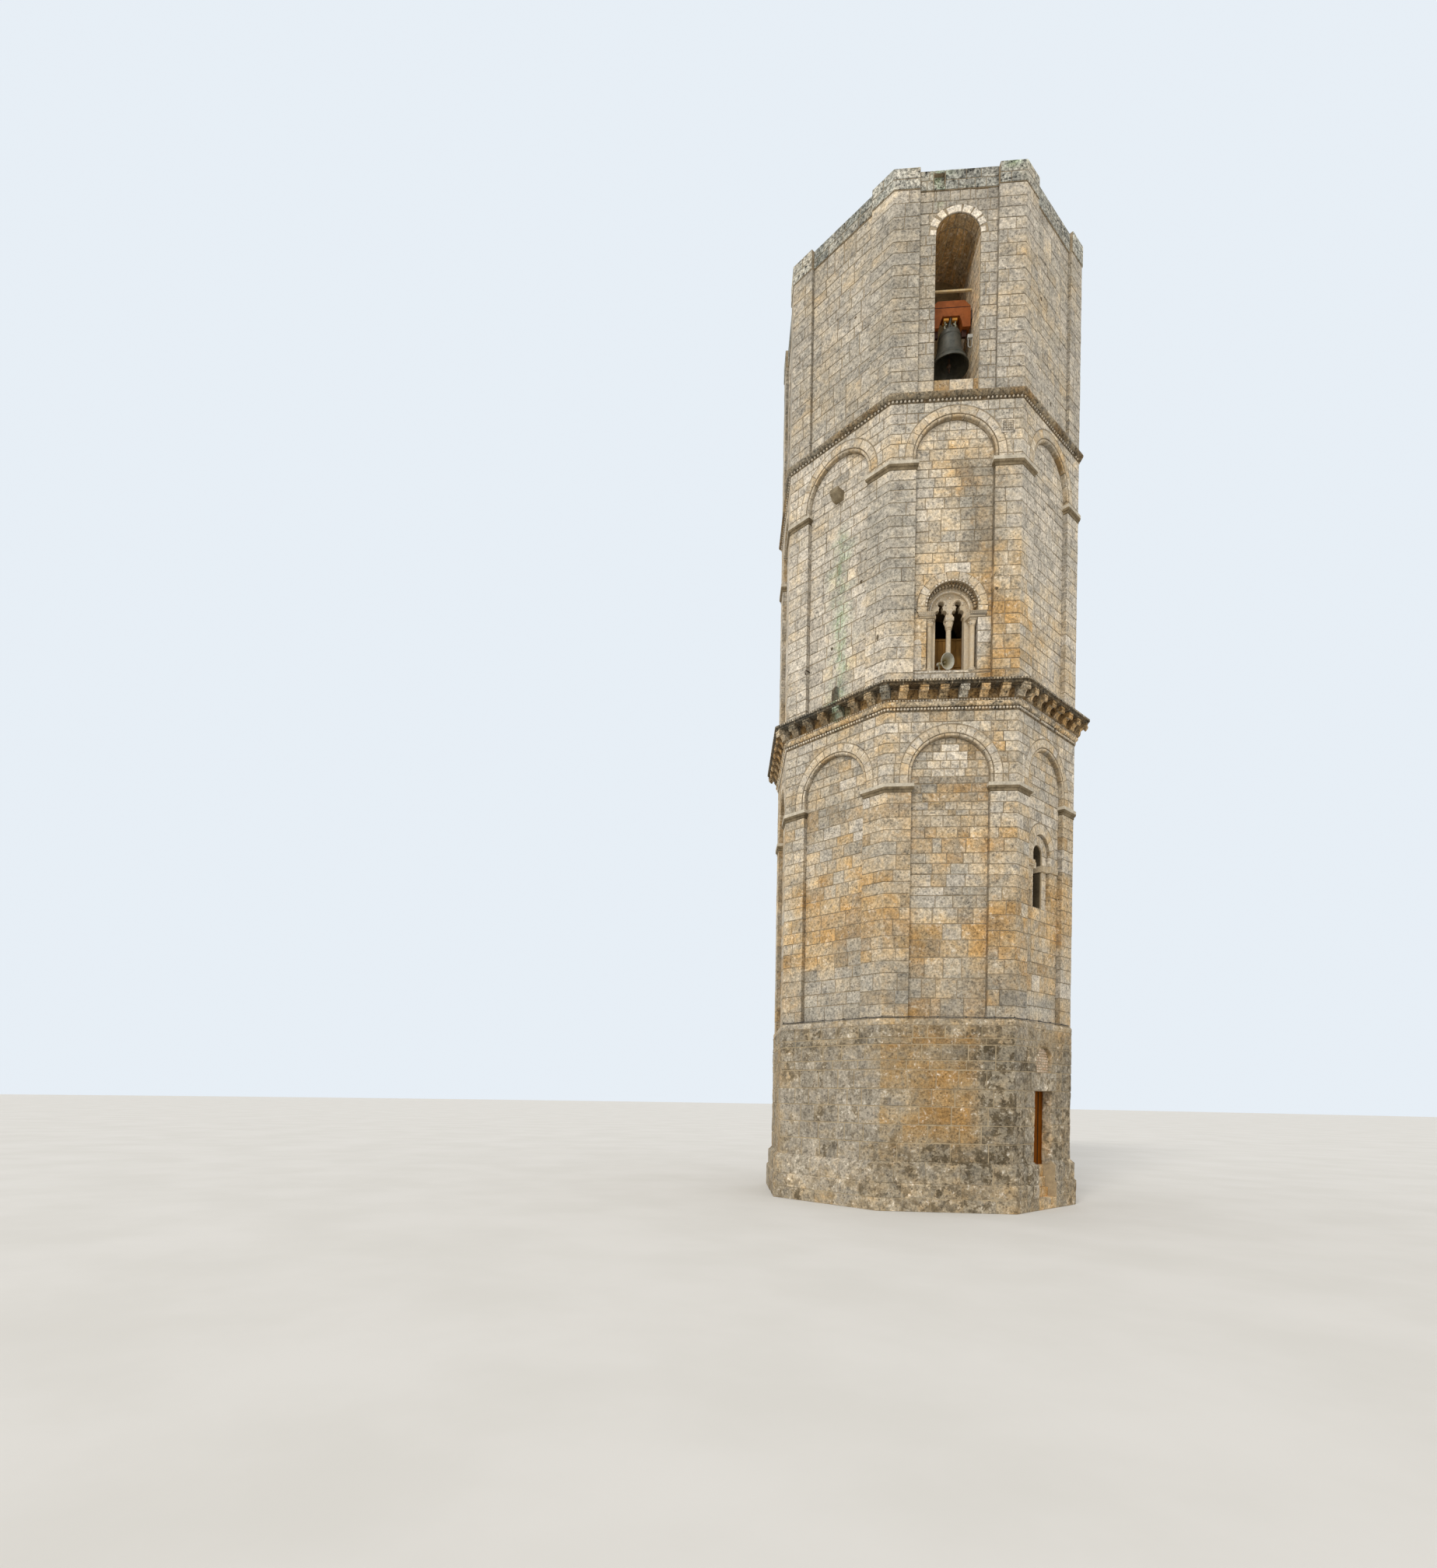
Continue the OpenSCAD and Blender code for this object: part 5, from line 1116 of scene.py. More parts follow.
print("bell storey and parapet")
belfryStones = Pile("belfryStones", 41)
strips(belfryStones, "belfry", stringTop, wallsTop, (0.28, 0.30), bellPanelDepth)
whiteBlocks = ((174, 15, 0.15), (151, 19, 0.19), (129, 18, 0.19), (108, 17, 0.16), (90.5, 15, 0.17), (70.5, 21, 0.18),
               (48, 20, 0.19), (27, 18, 0.17), (8, 15, 0.12))  # angle round the arch, width in degrees, height
openHole = {"bands": [(stringTop, bellSill, 0.53), (bellSill, bellSpring, 0.522)], "arc": (bellSpring, 0.70)}
for face in faces:
    hole = openHole if face in cardinals else None
    levels = courses(belfryStones.dice, stringTop, wallsTop, 0.29, 0.26, (bellSill, bellSpring) if hole else ())
    fill(belfryStones, flat(face, bellPanelDepth), levels, panelLimits,
         lambda z: (0.18, 0.30) if hole else (0.28, 0.55), wallTone(belfryStones, "belfry", face), None, hole,
         -0.12, double=0.10)
    if hole:
        dice = belfryStones.dice
        cuts = (-0.518, -0.16, 0.40, 0.518) if face == 0 else (-0.518, 0.05, 0.518)
        for k, (one, two) in enumerate(pairs(cuts)):
            tone = ((0.80, 0.15, 0.82), (0.15, 0.1, 1.04), (0.95, 0.1, 0.82))[k % 3]
            block(belfryStones, flat(face, bellPanelDepth), one + 0.005, two - 0.005, 19.616, 19.955, tone, 0.012,
                  -0.35)
        for middle, width, deep in whiteBlocks:  # separate pale blocks with wide mortar between them
            a = radians(middle - width / 2 + dice.uniform(-1, 1))
            b = radians(middle + width / 2 + dice.uniform(-1, 1))
            outline = around(0, bellSpring, 0.524, (a, (a + b) / 2, b))
            outline += [((0.53 + deep) * cos(x) + dice.uniform(-0.008, 0.008),
                         bellSpring + (0.53 + deep) * sin(x) + dice.uniform(-0.008, 0.008))
                        for x in (b - 0.02, a + 0.02)]
            cutBlock(belfryStones, flat(face, bellPanelDepth), outline,
                     (0.0, dice.uniform(0, 0.08), dice.uniform(1.22, 1.34)), 0.013, -0.02)
        for side in (-1, 1):  # reveals of the tunnel
            for low, high in pairs(levels):
                if low >= 19.94 and high <= 23.46:
                    # painted shade: reveal stones darker the deeper they lie in the opening
                    def shadedJambTone(depth):
                        tone = toneAt(dice, "inside", face, 0.3 * side, low)
                        return tone[0] * 0.5, tone[1], tone[2] * 1.35 * (1.18 - 0.22 * depth)
                    layRow(belfryStones, reveal(face, side, 0.53), splitWidth(dice, 0.105, 1.79, (0.3, 0.6), []),
                           low + 0.006, high - 0.006, 0.005, shadedJambTone)
        # two rings of the vault, the outer one laid with wide joints
        for first, last, rows in ((0.105, 0.42, 8), (0.435, 1.79, 11)):
            turns = [pi * (k + (dice.uniform(-0.2, 0.2) if 0 < k < rows else 0)) / rows for k in range(rows + 1)]
            for k in range(rows):
                cuts = [first, last] if last < 1 else splitWidth(dice, first, last, (0.5, 0.8), [])

                # painted light: vault stones paler the deeper they lie in the wall
                def litVaultTone(depth):
                    tone = toneAt(dice, "inside", face, 0.1 * k, 23.8)
                    return tone[0], tone[1], tone[2] * (1.0 + 0.30 * depth)
                layRow(belfryStones, soffit(face, 0.53, bellSpring), cuts, turns[k] + 0.020, turns[k + 1] - 0.020,
                       0.006, litVaultTone, 0.012)
belfryStones.build(limestone, "limestone")

crown = Pile("parapetStones", 42)
for face in faces:
    place = flat(face, 0.05)
    dice = crown.dice
    for low, high in ((24.504, 24.728), (24.738, 24.970)) if face else ():
        layRow(crown, place, splitWidth(dice, -0.918, 0.918, (0.28, 0.5), []), low, high, 0.005,
               lambda t: toneAt(dice, "parapet", face, t, high), 0.010, -0.312)
    if face == 0:  # the front, with the drain
        tone = lambda t: toneAt(dice, "parapet", 0, t, 24.7)
        for cuts, low, high in (((-0.918, -0.76, -0.61), 24.504, 24.728), ((-0.918, -0.70, -0.61), 24.738, 24.97),
                                ((-0.33, -0.02, 0.36, 0.62, 0.918), 24.504, 24.728),
                                ((-0.33, 0.16, 0.50, 0.918), 24.738, 24.97), ((-0.602, -0.338), 24.902, 24.97)):
            layRow(crown, place, cuts, low, high, 0.004, tone)
        below = [(-0.602, 24.504), (-0.338, 24.504), (-0.338, 24.626)]
        below += around(-0.42, 24.60, 0.062, [radians(x) for x in range(24, -205, -16)])
        cutBlock(crown, place, below + [(-0.602, 24.626)], tone(-0.5), 0.010, -0.012, 0.006)
        back = [(-0.596, 24.634)] + around(-0.42, 24.60, 0.062, [radians(x) for x in range(146, 32, -16)])
        cutBlock(crown, flat(0, 0.14), back + [(-0.344, 24.634), (-0.344, 24.896), (-0.596, 24.896)], (0.2, 0.5, 1.0),
                 0.008, -0.012, 0.006)
        cuts = [-0.918, -0.5, -0.05, 0.42, 0.918]
        for one, two in pairs(cuts):
            block(crown, lambda u, v, h: onFace(0, u, v, 24.96 + h), one + 0.005, two - 0.005, 0.058, 0.345,
                  tone(one), 0.011)
            block(crown, lambda u, v, h: onFace(0, -u, 0.35 + h, v), -two + 0.005, -one - 0.005, 24.51, 24.955,
                  tone(one), 0.010)
    for k, (low, high) in enumerate(((24.506, 24.742), (24.754, 25.010))):
        full = 0.622 - 0.004
        short = dice.choice((0.30, 0.36, full))
        left, right = (full, short) if (k + face // 45) % 2 else (short, full)
        tone = toneAt(dice, "parapet", face, halfSide, high)
        tone = (tone[0] + 0.05, tone[1] * 0.7, tone[2] * 1.12)
        block(crown, corner(face, -0.02), -left, right, low, high, tone, 0.010, -0.382, folds=arrisFolds)
        for rest, edge in ((left, -1), (right, 1)):
            if rest < full - 0.05:
                block(crown, corner(face, -0.02), *sorted((edge * (rest + 0.010), edge * full)), low, high, tone,
                      0.010, -0.382)
crown.build(parapetStone, "grey_stone")

roof = Pile("roofFlags", 43, False)


def clipOctagon(outline, reach):
    for face in faces:
        a = radians(face)
        normal, made = (sin(a), -cos(a)), []
        for k, p in enumerate(outline):
            q = outline[(k + 1) % len(outline)]
            dp, dq = reach - (p[0] * normal[0] + p[1] * normal[1]), reach - (q[0] * normal[0] + q[1] * normal[1])
            if dp >= 0:
                made.append(p)
            if dp * dq < 0:
                made.append((p[0] + (q[0] - p[0]) * dp / (dp - dq), p[1] + (q[1] - p[1]) * dp / (dp - dq)))
        outline = made
        if len(outline) < 3:
            return []
    return outline


row = -3.4
while row < 3.4:
    deep = roof.dice.uniform(0.42, 0.58)
    cuts = splitWidth(roof.dice, -3.45, 3.45, (0.45, 0.85), [])
    for one, two in pairs(cuts):
        outline = clipOctagon([(one + 0.006, row + 0.006), (two - 0.006, row + 0.006),
                               (two - 0.006, row + deep - 0.006), (one + 0.006, row + deep - 0.006)], 3.355)
        if outline:
            tone = toneAt(roof.dice, "parapet", 0, one, row + 35)
            cutBlock(roof, lambda u, v, h: Vector((u, v, wallsTop + h)), outline,
                     (tone[0] * 2, tone[1] * 0.8, tone[2]), 0.012, -0.01)
    row += deep
roof.build(mouldStone, "grey_stone")

print("carving round the windows")
carving = Pile("windowCarving", 51, False)


def ringPlace(face, centre, depth):  # u = angle round an arch, v = radius
    return lambda u, v, h: onFace(face, v * cos(u), depth - h, centre + v * sin(u))


# a round moulding along an arc
def arcTube(pile, face, centre, depth, radius, tube, start, end, tone, step=0.09, x=0.0):
    count = max(2, round((end - start) * radius / step))
    rings = []
    for k in range(count + 1):
        a = start + (end - start) * k / count
        ring = []
        for b in (200, 160, 120, 90, 60, 20, -20):
            r, out = radius + tube * cos(radians(b)), tube * sin(radians(b))
            ring.append(onFace(face, x + r * cos(a), depth - max(out, -0.004), centre + r * sin(a)))
        rings.append(ring)
    loft(pile, rings, tone)


def stud(pile, where, u, v, wide, high, front, tone):  # a small pyramid
    corners = ((-1, -1), (1, -1), (1, 1), (-1, 1))
    points = [where(u + a * wide / 2, v + b * high / 2, h) for h in (-0.004, front * 0.25) for a, b in corners]
    points += [where(u + a * wide * 0.08, v + b * high * 0.08, front) for a, b in corners]
    pile.add(points, threeRings, tone, [1.0] * 4 + [0.8] * 4 + [0.0] * 4)


# a leaf that curls out of a capital, rings of (z, radius, width, thickness)
def leaf(pile, face, x, depth, turn, rings, tone):
    a = radians(turn)
    across, out = Vector((cos(a), sin(a))), Vector((sin(a), -cos(a)))
    made = []
    for z, radius, width, thick in rings:
        ring = []
        for side, bulge in ((-1, -1), (1, -1), (1, 0.4), (0, 1), (-1, 0.4)):
            spot = out * (radius + bulge * thick / 2) + across * side * width / 2
            ring.append(onFace(face, x + spot.x, depth + spot.y, z))
        made.append(ring)
    loft(pile, made, tone)


dice = carving.dice
paleTone = lambda more=0.0: (dice.uniform(0.05, 0.3) + more, dice.uniform(0.0, 0.2), dice.uniform(1.06, 1.24))
brownTone = lambda: (dice.uniform(0.6, 1.0), dice.uniform(0.1, 0.4), dice.uniform(0.55, 0.80))
# x, depth, top, height and half width of the twin window's capitals
capitals = ((0.0, 0.42, 14.40, 0.29, 0.10), (-0.505, 0.23, 14.27, 0.18, 0.087), (0.505, 0.23, 14.27, 0.18, 0.087))
for face in twinFaces:
    edge = ringPlace(face, twinSpring, 0.09)
    for a in archSteps(23):  # pale dentils on the inner edge of the ring, and the brown billets between them
        if dice.random() < 0.86:
            wedge(carving, edge, a - 0.036, a + 0.036, 0.602, 0.640, 0.016, -0.02,
                  (0.05, 0.0, dice.uniform(1.08, 1.22)), 0.08)
    for a in archSteps(24, 0.25):
        wedge(carving, soffit(face, 0.60, twinSpring), 0.135, 0.185, a - 0.036, a + 0.036, 0.030, -0.008, brownTone(),
              0.08)
    for a in archSteps(22):  # a toothed order inside the ring
        tooth = brownTone()
        wedge(carving, ringPlace(face, twinSpring, 0.20), a - 0.050, a + 0.050, 0.540, 0.604, 0.0, -0.112,
              (tooth[0] * 0.6, tooth[1], tooth[2] * 1.45), 0.12)
    arcTube(carving, face, twinSpring, 0.32, 0.565, 0.022, 0.02, pi - 0.02, paleTone())
    arcTube(carving, face, twinSpring, 0.32, 0.478, 0.020, 0.02, pi - 0.02, paleTone())
    for a in archSteps(27):
        sphere(carving, onFace(face, 0.522 * cos(a), 0.320, twinSpring + 0.522 * sin(a)), 0.013, paleTone(0.2), 6, 4)
    for a in archSteps(24):
        wedge(carving, ringPlace(face, twinSpring, 0.37), a - 0.028, a + 0.028, 0.405, 0.432, 0.012, -0.006,
              paleTone(0.15), 0.15)
    for side in (-1, 1):  # mouldings that follow the heads of the lights and meet on the column
        centre = side * 0.2015
        arcTube(carving, face, 14.725, 0.37, 0.112, 0.020, -0.25, pi + 0.25, paleTone(), 0.03, centre)
        arcTube(carving, face, 14.545, 0.37, 0.165, 0.018, (2.55 if side > 0 else -0.35), (3.5 if side > 0 else 0.6),
                paleTone(), 0.03, centre)
    for k in range(9):  # palmette between the lights
        a = radians(-30 + 240 * k / 8)
        leafTone = paleTone(0.1)
        for step in range(3):
            reach = 0.032 + 0.022 * step
            sphere(carving, onFace(face, reach * cos(a), 0.368, 14.872 + reach * 0.8 * sin(a)), 0.013 - 0.001 * step,
                   leafTone, 6, 4)
    sphere(carving, onFace(face, 0, 0.366, 14.872), 0.024, paleTone(), 8, 5)
    sphere(carving, onFace(face, 0, 0.366, 14.765), 0.020, paleTone(), 8, 5)
    for x, depth, top, tall, wide in capitals:
        low, reach = top - tall, wide * 1.05
        rise = top - tall * 0.3 - low
        for k in range(8):
            shape = [(low + 0.015, 0.060, 0.022, 0.016),
                     (low + rise * 0.5, 0.060 + (reach - 0.06) * 0.35, 0.046, 0.020),
                     (low + rise * 0.85, reach * 0.93, 0.036, 0.020), (low + rise * 0.97, reach * 1.06, 0.012, 0.018)]
            leaf(carving, face, x, depth, 45 * k, shape, paleTone(0.1))
        for k in range(8):
            shape = [(low + 0.01, 0.058, 0.018, 0.014), (low + rise * 0.45, 0.075, 0.030, 0.016),
                     (low + rise * 0.55, 0.084, 0.010, 0.012)]
            leaf(carving, face, x, depth, 45 * k + 22.5, shape, paleTone(0.25))
        for k in range(5 if x == 0 else 4):  # small drops on the abacus
            at = x + wide * (-0.8 + 1.6 * k / (4 if x == 0 else 3))
            wedge(carving, flat(face, depth - wide), at - 0.012, at + 0.012, top - tall * 0.22, top - tall * 0.08,
                  0.008, -0.004, paleTone())
    for side in (-1, 1):  # hatched imposts, the one at the right darker
        def tone():
            if side < 0:
                return 0.2, 0.2, dice.uniform(0.9, 1.05)
            return 0.35, dice.uniform(0.5, 0.8), dice.uniform(0.45, 0.75)
        for k in range(18):
            at = side * (0.412 + 0.0225 * k)
            stud(carving, flat(face, 0.07), at, 14.352 + 0.0225 * (k % 2), 0.024, 0.024, 0.012, tone())
            if k % 2 == 0:
                stud(carving, flat(face, 0.07), at, 14.386, 0.020, 0.018, 0.010, tone())
        for k in range(16):
            wedge(carving, flat(face, 0.084), side * (0.42 + 0.024 * k) - 0.008, side * (0.42 + 0.024 * k) + 0.008,
                  14.302, 14.330, 0.010, -0.004, tone())
    block(carving, flat(face, panelDepth), -0.915, -0.705, 13.006, 13.62, (0.15, 0.1, 1.06), 0.018, -0.004)
    arch = [(-0.81 + 0.105 * cos(a), 13.63 + 0.13 * sin(a)) for a in halfTurn(8)]
    cutBlock(carving, flat(face, panelDepth), arch, (0.10, 0.1, 1.08), 0.018, -0.004)
    # the sill stones of the two lights
    layRow(carving, lambda u, v, h: onFace(face, u, v, twinSill + h), (-0.60, -0.22, 0.16, 0.60), 0.112, 0.318, 0.004,
           lambda t: (0.05, 0.15, 1.08), 0.006, -0.002)
for face in sideFaces:  # side window: ring of the inner order, sill and jamb stones
    for k in range(9):
        a, b = pi * k / 9, pi * (k + 1) / 9
        outline = around(0, sideSpring, 0.234, (a + 0.02, (a + b) / 2, b - 0.02))
        outline += around(0, sideSpring, 0.462, (b - 0.01, (a + b) / 2, a + 0.01))
        cutBlock(carving, flat(face, 0.21), outline, paleTone(0.1), 0.009, -0.006)
    arcTube(carving, face, sideSpring, 0.201, 0.445, 0.016, 0.02, pi - 0.02, paleTone())
    for side in (-1, 1):
        levels = (7.49, 7.78, 8.02, 8.27, 8.465)
        for low, high in pairs(levels):
            block(carving, flat(face, 0.21), *sorted((side * 0.236, side * 0.470)), low + 0.004, high - 0.004,
                  paleTone(0.15), 0.009, -0.006)
        block(carving, flat(face, 0.21), *sorted((side * 0.236, side * 0.470)), 8.628, 8.866, paleTone(0.1), 0.009,
              -0.006)
        for k in range(14):
            at = side * (0.455 + 0.027 * k)
            wedge(carving, flat(face, 0.06), at - 0.008, at + 0.008, 8.50, 8.60, 0.008, -0.004, paleTone(0.25))
    block(carving, lambda u, v, h: onFace(face, u, v, sideSill + h), -0.47, 0.47, 0.115, 0.208, paleTone(), 0.008,
          -0.002)
carving.build(paleStone, "pale_stone")

wallMarksAndHoleShade = Pile("wallMarksAndHoleShade", 52, False)
block(wallMarksAndHoleShade, flat(0, 0), 1.035, 1.355, 18.545, 18.865, (0.12, 0.2, 1.08), 0.026, -0.004, rim=0.012)
cutBlock(wallMarksAndHoleShade, flat(0, 0), [(1.075, 18.585), (1.315, 18.585), (1.315, 18.825), (1.075, 18.825)],
         (0.6, 0.5, 0.62), 0.030, -0.002, 0.004)
for i in range(4):
    for j in range(4):
        stud(wallMarksAndHoleShade, flat(0, -0.029), 1.111 + 0.056 * i, 18.621 + 0.056 * j, 0.042, 0.042, 0.012,
             (0.15, 0.2, 1.05))
holeShadeTone = (0.8, 0.5, 0.30)
# face, t, z, width, height and depth of the holes and dark gaps in the walls, laid as dark patches of painted shade
holes = [(45, -0.56, 22.39, 0.09, 0.10, 0.08), (45, 0.03, 20.12, 0.08, 0.10, 0.08),
         (315, 0.68, 15.56, 0.09, 0.08, 0.12), (315, -0.18, 14.23, 0.10, 0.09, 0.12),
         (0, 1.27, 14.78, 0.07, 0.06, 0.0), (0, 0.98, 14.86, 0.10, 0.06, 0.0), (315, 1.27, 13.88, 0.07, 0.16, 0.0),
         (315, 0.42, 22.3, 0.08, 0.08, 0.08), (225, 0.4, 21.2, 0.09, 0.09, 0.08), (135, -0.4, 15.1, 0.09, 0.09, 0.12),
         (180, 1.2, 9.2, 0.08, 0.08, 0.0)]
for face, t, z, wide, high, depth in holes:
    ring = [(t + wide / 2 * cos(a) * wallMarksAndHoleShade.dice.uniform(0.8, 1.1),
             z + high / 2 * sin(a) * wallMarksAndHoleShade.dice.uniform(0.8, 1.1)) for a in [pi * k / 4 for k in range(8)]]
    cutBlock(wallMarksAndHoleShade, flat(face, depth), ring, holeShadeTone, 0.0145, -0.002, 0.004)
# the niche drawn as a dark patch: painted shade
niche = [(-0.17, 12.86), (0.05, 12.86)] + around(-0.06, 13.10, 0.11, halfTurn(8))
cutBlock(wallMarksAndHoleShade, flat(315, 0.12), niche, holeShadeTone, 0.0145, -0.002, 0.004)
wallMarksAndHoleShade.build(limestone, "limestone")

ironHook = Pile("ironHook", 53, False)
hookLine = ((0.11, 13.90), (0.02, 13.90), (-0.05, 13.89), (-0.08, 13.85), (-0.07, 13.80), (-0.03, 13.78))


def rod(pile, path, radius, count=6):  # a round bar along points
    rings = []
    for k, spot in enumerate(path):
        ahead = (path[min(k + 1, len(path) - 1)] - path[max(k - 1, 0)]).normalized()
        side = ahead.cross(Vector((0, 0, 1)) if abs(ahead.z) < 0.9 else Vector((1, 0, 0))).normalized()
        top = side.cross(ahead)
        rings.append([spot + radius * (cos(2 * pi * i / count) * side + sin(2 * pi * i / count) * top)
                      for i in range(count)])
    loft(pile, rings, noTone)


rod(ironHook, [onFace(315, -0.90, depth, z) for depth, z in hookLine], 0.013)
wallCable = Pile("wallCable", 54, False)
route, clips = [], []
for face, first, last in ((315, -1.50, 1.545), (0, -1.545, 1.545), (45, -1.545, 1.40)):
    count = 14
    for k in range(count + 1):
        t = first + (last - first) * k / count
        sag = 0.012 * sin(pi * (k % 3) / 3) if k % 3 else 0.0
        spot = onFace(face, t, -0.022, 4.650 - sag)
        if not route or (spot - route[-1]).length > 0.02:
            route.append(spot)
        if k % 3 == 0:
            clips.append((face, t))
rod(wallCable, route, 0.011)
for face, t in clips:
    wedge(wallCable, flat(face, 0.0), t - 0.014, t + 0.014, 4.632, 4.668, 0.036, -0.002, noTone, 0.1)

hornDetail = Pile("hornDetail", 55, False)
hornAxis = Vector((0.413, -0.886, -0.208)).normalized()
hornStart = Vector((-0.205, 0.40 - apothem, 13.29))
sideways = hornAxis.cross(Vector((0, 0, 1))).normalized()
upwards = sideways.cross(hornAxis)


def turned(pile, start, axis, line, count=32):  # a ring of (radius, distance) pairs turned round an axis, closed
    level = axis.cross(Vector((0, 0, 1))).normalized()
    rise = level.cross(axis)
    rings = [[start + axis * far + radius * (cos(2 * pi * i / count) * level + sin(2 * pi * i / count) * rise)
              for i in range(count)] for radius, far in line]
    points, shapes, n = [p for ring in rings for p in ring], [], count
    for k in range(len(rings)):
        j = (k + 1) % len(rings)
        shapes += [(k * n + i, k * n + (i + 1) % n, j * n + (i + 1) % n, j * n + i) for i in range(n)]
    pile.add(points, shapes, noTone)


turned(hornDetail, hornStart, hornAxis, around(0.186, 0.298, 0.008, [pi * k / 4 for k in range(8)]))
innerCone = [(0.028, 0.10), (0.034, 0.10), (0.058, 0.150), (0.078, 0.190), (0.080, 0.200), (0.074, 0.200),
             (0.052, 0.158), (0.028, 0.112)]
innerPlug = [(0.002, 0.100), (0.020, 0.100), (0.024, 0.150), (0.030, 0.176), (0.026, 0.196), (0.014, 0.206),
             (0.002, 0.208)]
for ring in (innerCone, innerPlug):
    turned(hornDetail, hornStart, hornAxis, ring)
for k in range(3):
    a = 2 * pi * k / 3 + 0.5
    radial = cos(a) * sideways + sin(a) * upwards
    rod(hornDetail, [hornStart + hornAxis * 0.125 + radial * 0.040, hornStart + hornAxis * 0.118 + radial * 0.075,
                     hornStart + hornAxis * 0.115 + radial * 0.086], 0.005)

# a near-black tube inside the drain: partly moss, partly painted shade of the hole
drainLining = Pile("drainLining", 58, False)
lining = [(0.0596, 0.150), (0.0560, 0.150), (0.0560, 0.340), (0.0596, 0.340)]
turned(drainLining, onFace(0, -0.42, 0, 24.6), Vector((0, 1, 0)), lining, 24)

canons = Pile("bellCanons", 59, False)  # pale loops and bolts over the bell's crown
plates = Pile("crownPlates", 60, False)
bellPlace = lambda u, v, h: Vector((u, -2.96789 - h, v))
canonLine = ((0.062, 21.668, 0.045), (0.095, 21.705, 0.052), (0.128, 21.755, 0.056), (0.135, 21.805, 0.056),
             (0.110, 21.845, 0.054), (0.080, 21.862, 0.050))
for side in (-1, 1):
    rod(canons, [bellPlace(side * x, z, h) for x, z, h in canonLine], 0.015, 8)
    for h in (-0.055, 0.055):
        wedge(plates, bellPlace, *sorted((side * 0.040, side * 0.165)), 21.925, 21.985, h + 0.03, h - 0.03, noTone,
              0.06)
        rod(canons, [bellPlace(side * 0.125, 21.845, h), bellPlace(side * 0.125, 21.930, h)], 0.011, 8)

screenBoards = Pile("screenBoards", 56, False)
for face in twinFaces:
    cuts = (-0.594, -0.455, -0.31, -0.16, -0.02, 0.13, 0.28, 0.43, 0.594)
    for one, two in pairs(cuts):
        block(screenBoards, flat(face, 0.85), one + 0.003, two - 0.003, 13.012,
              14.085 + screenBoards.dice.uniform(-0.006, 0.006), noTone, 0.010, -0.002, rim=0.003)
    block(screenBoards, flat(face, 0.85), -0.590, 0.590, 14.096, 14.146, noTone, 0.018, -0.002, rim=0.004)
    block(screenBoards, flat(face, 0.85), -0.590, 0.590, 13.42, 13.50, noTone, 0.022, -0.002, rim=0.004)

# a near-black rail on the wide leaf's edge, painted shade of the gap between the leaves
gapShadeRail = Pile("doorGapShadeRail", 57, False)
block(gapShadeRail, flat(45, 0.208), 0.216, 0.250, 1.085, 2.90, noTone, 0.006, -0.002, rim=0.002)

print("finishes of the packed nodes")


def dress(finish, *names):
    for name in names:
        slots = nodes[name].data.materials
        if len(slots) == 0:
            slots.append(finish)
        for k in range(len(slots)):
            slots[k] = finish


dress(mortar, "plinth", "base_walls", "door_jambs", "door_wall_sides", "door_head", "door_lintel", "lunette_infill",
      "door_steps", "storey_walls", "side_window_walls", "corner_pilasters", "spandrels", "torus_course",
      "corbel_course", "corner_corbels", "cornice", "twin_window_walls", "string_courses", "belfry_jambs",
      "belfry_sills", "belfry_heads", "parapet", "corner_blocks", "roof_slab", "archivolts")
dress(inside, "floors")
dress(shadedFrame, "side_window_frames")
dress(carvedPale, "twin_window_frames", "twin_window_columns", "side_window_imposts", "twin_window_imposts")
dress(imposts, "imposts")
dress(carvedDark, "stone_bracket")


def woodFinish(name, light, dark, deep, shine=0.25):  # upright grain
    made = Finish(name)
    grain = made.noise(16, 8, 0.65, (1, 1, 0.09), 0.6)
    fine = made.noise(70, 5, 0.6, (1, 1, 0.05))
    broad = made.noise(2.2, 3)
    colour = made.mix(grain.ramp(0.36, 0.66), light, dark)
    colour = made.mix(broad.ramp(0.5, 0.75) * 0.5, colour, deep)
    knots = 1 - made.cells(4.2).ramp(0.03, 0.09)
    colour = made.mix(knots * 0.6, colour, deep)
    colour = made.mix(1.0, colour, made.grey(0.86 + fine * 0.28), "MULTIPLY")
    return made.close(colour, 0.55 + fine * 0.25, made.bump(grain * 0.6 + fine * 0.4 - knots * 0.3, 0.5, 0.006),
                      **{"Specular IOR Level": shine})


doorWood = woodFinish("varnishedDoorBoards", (0.215, 0.062, 0.0015), (0.150, 0.040, 0.001), (0.065, 0.019, 0.001),
                      0.06)
screenWood = woodFinish("weatheredScreenBoards", (0.300, 0.150, 0.030), (0.200, 0.098, 0.018), (0.085, 0.045, 0.010))
dress(doorWood, "wide_door_leaf", "narrow_door_leaf")
dress(screenWood, "wooden_screens")


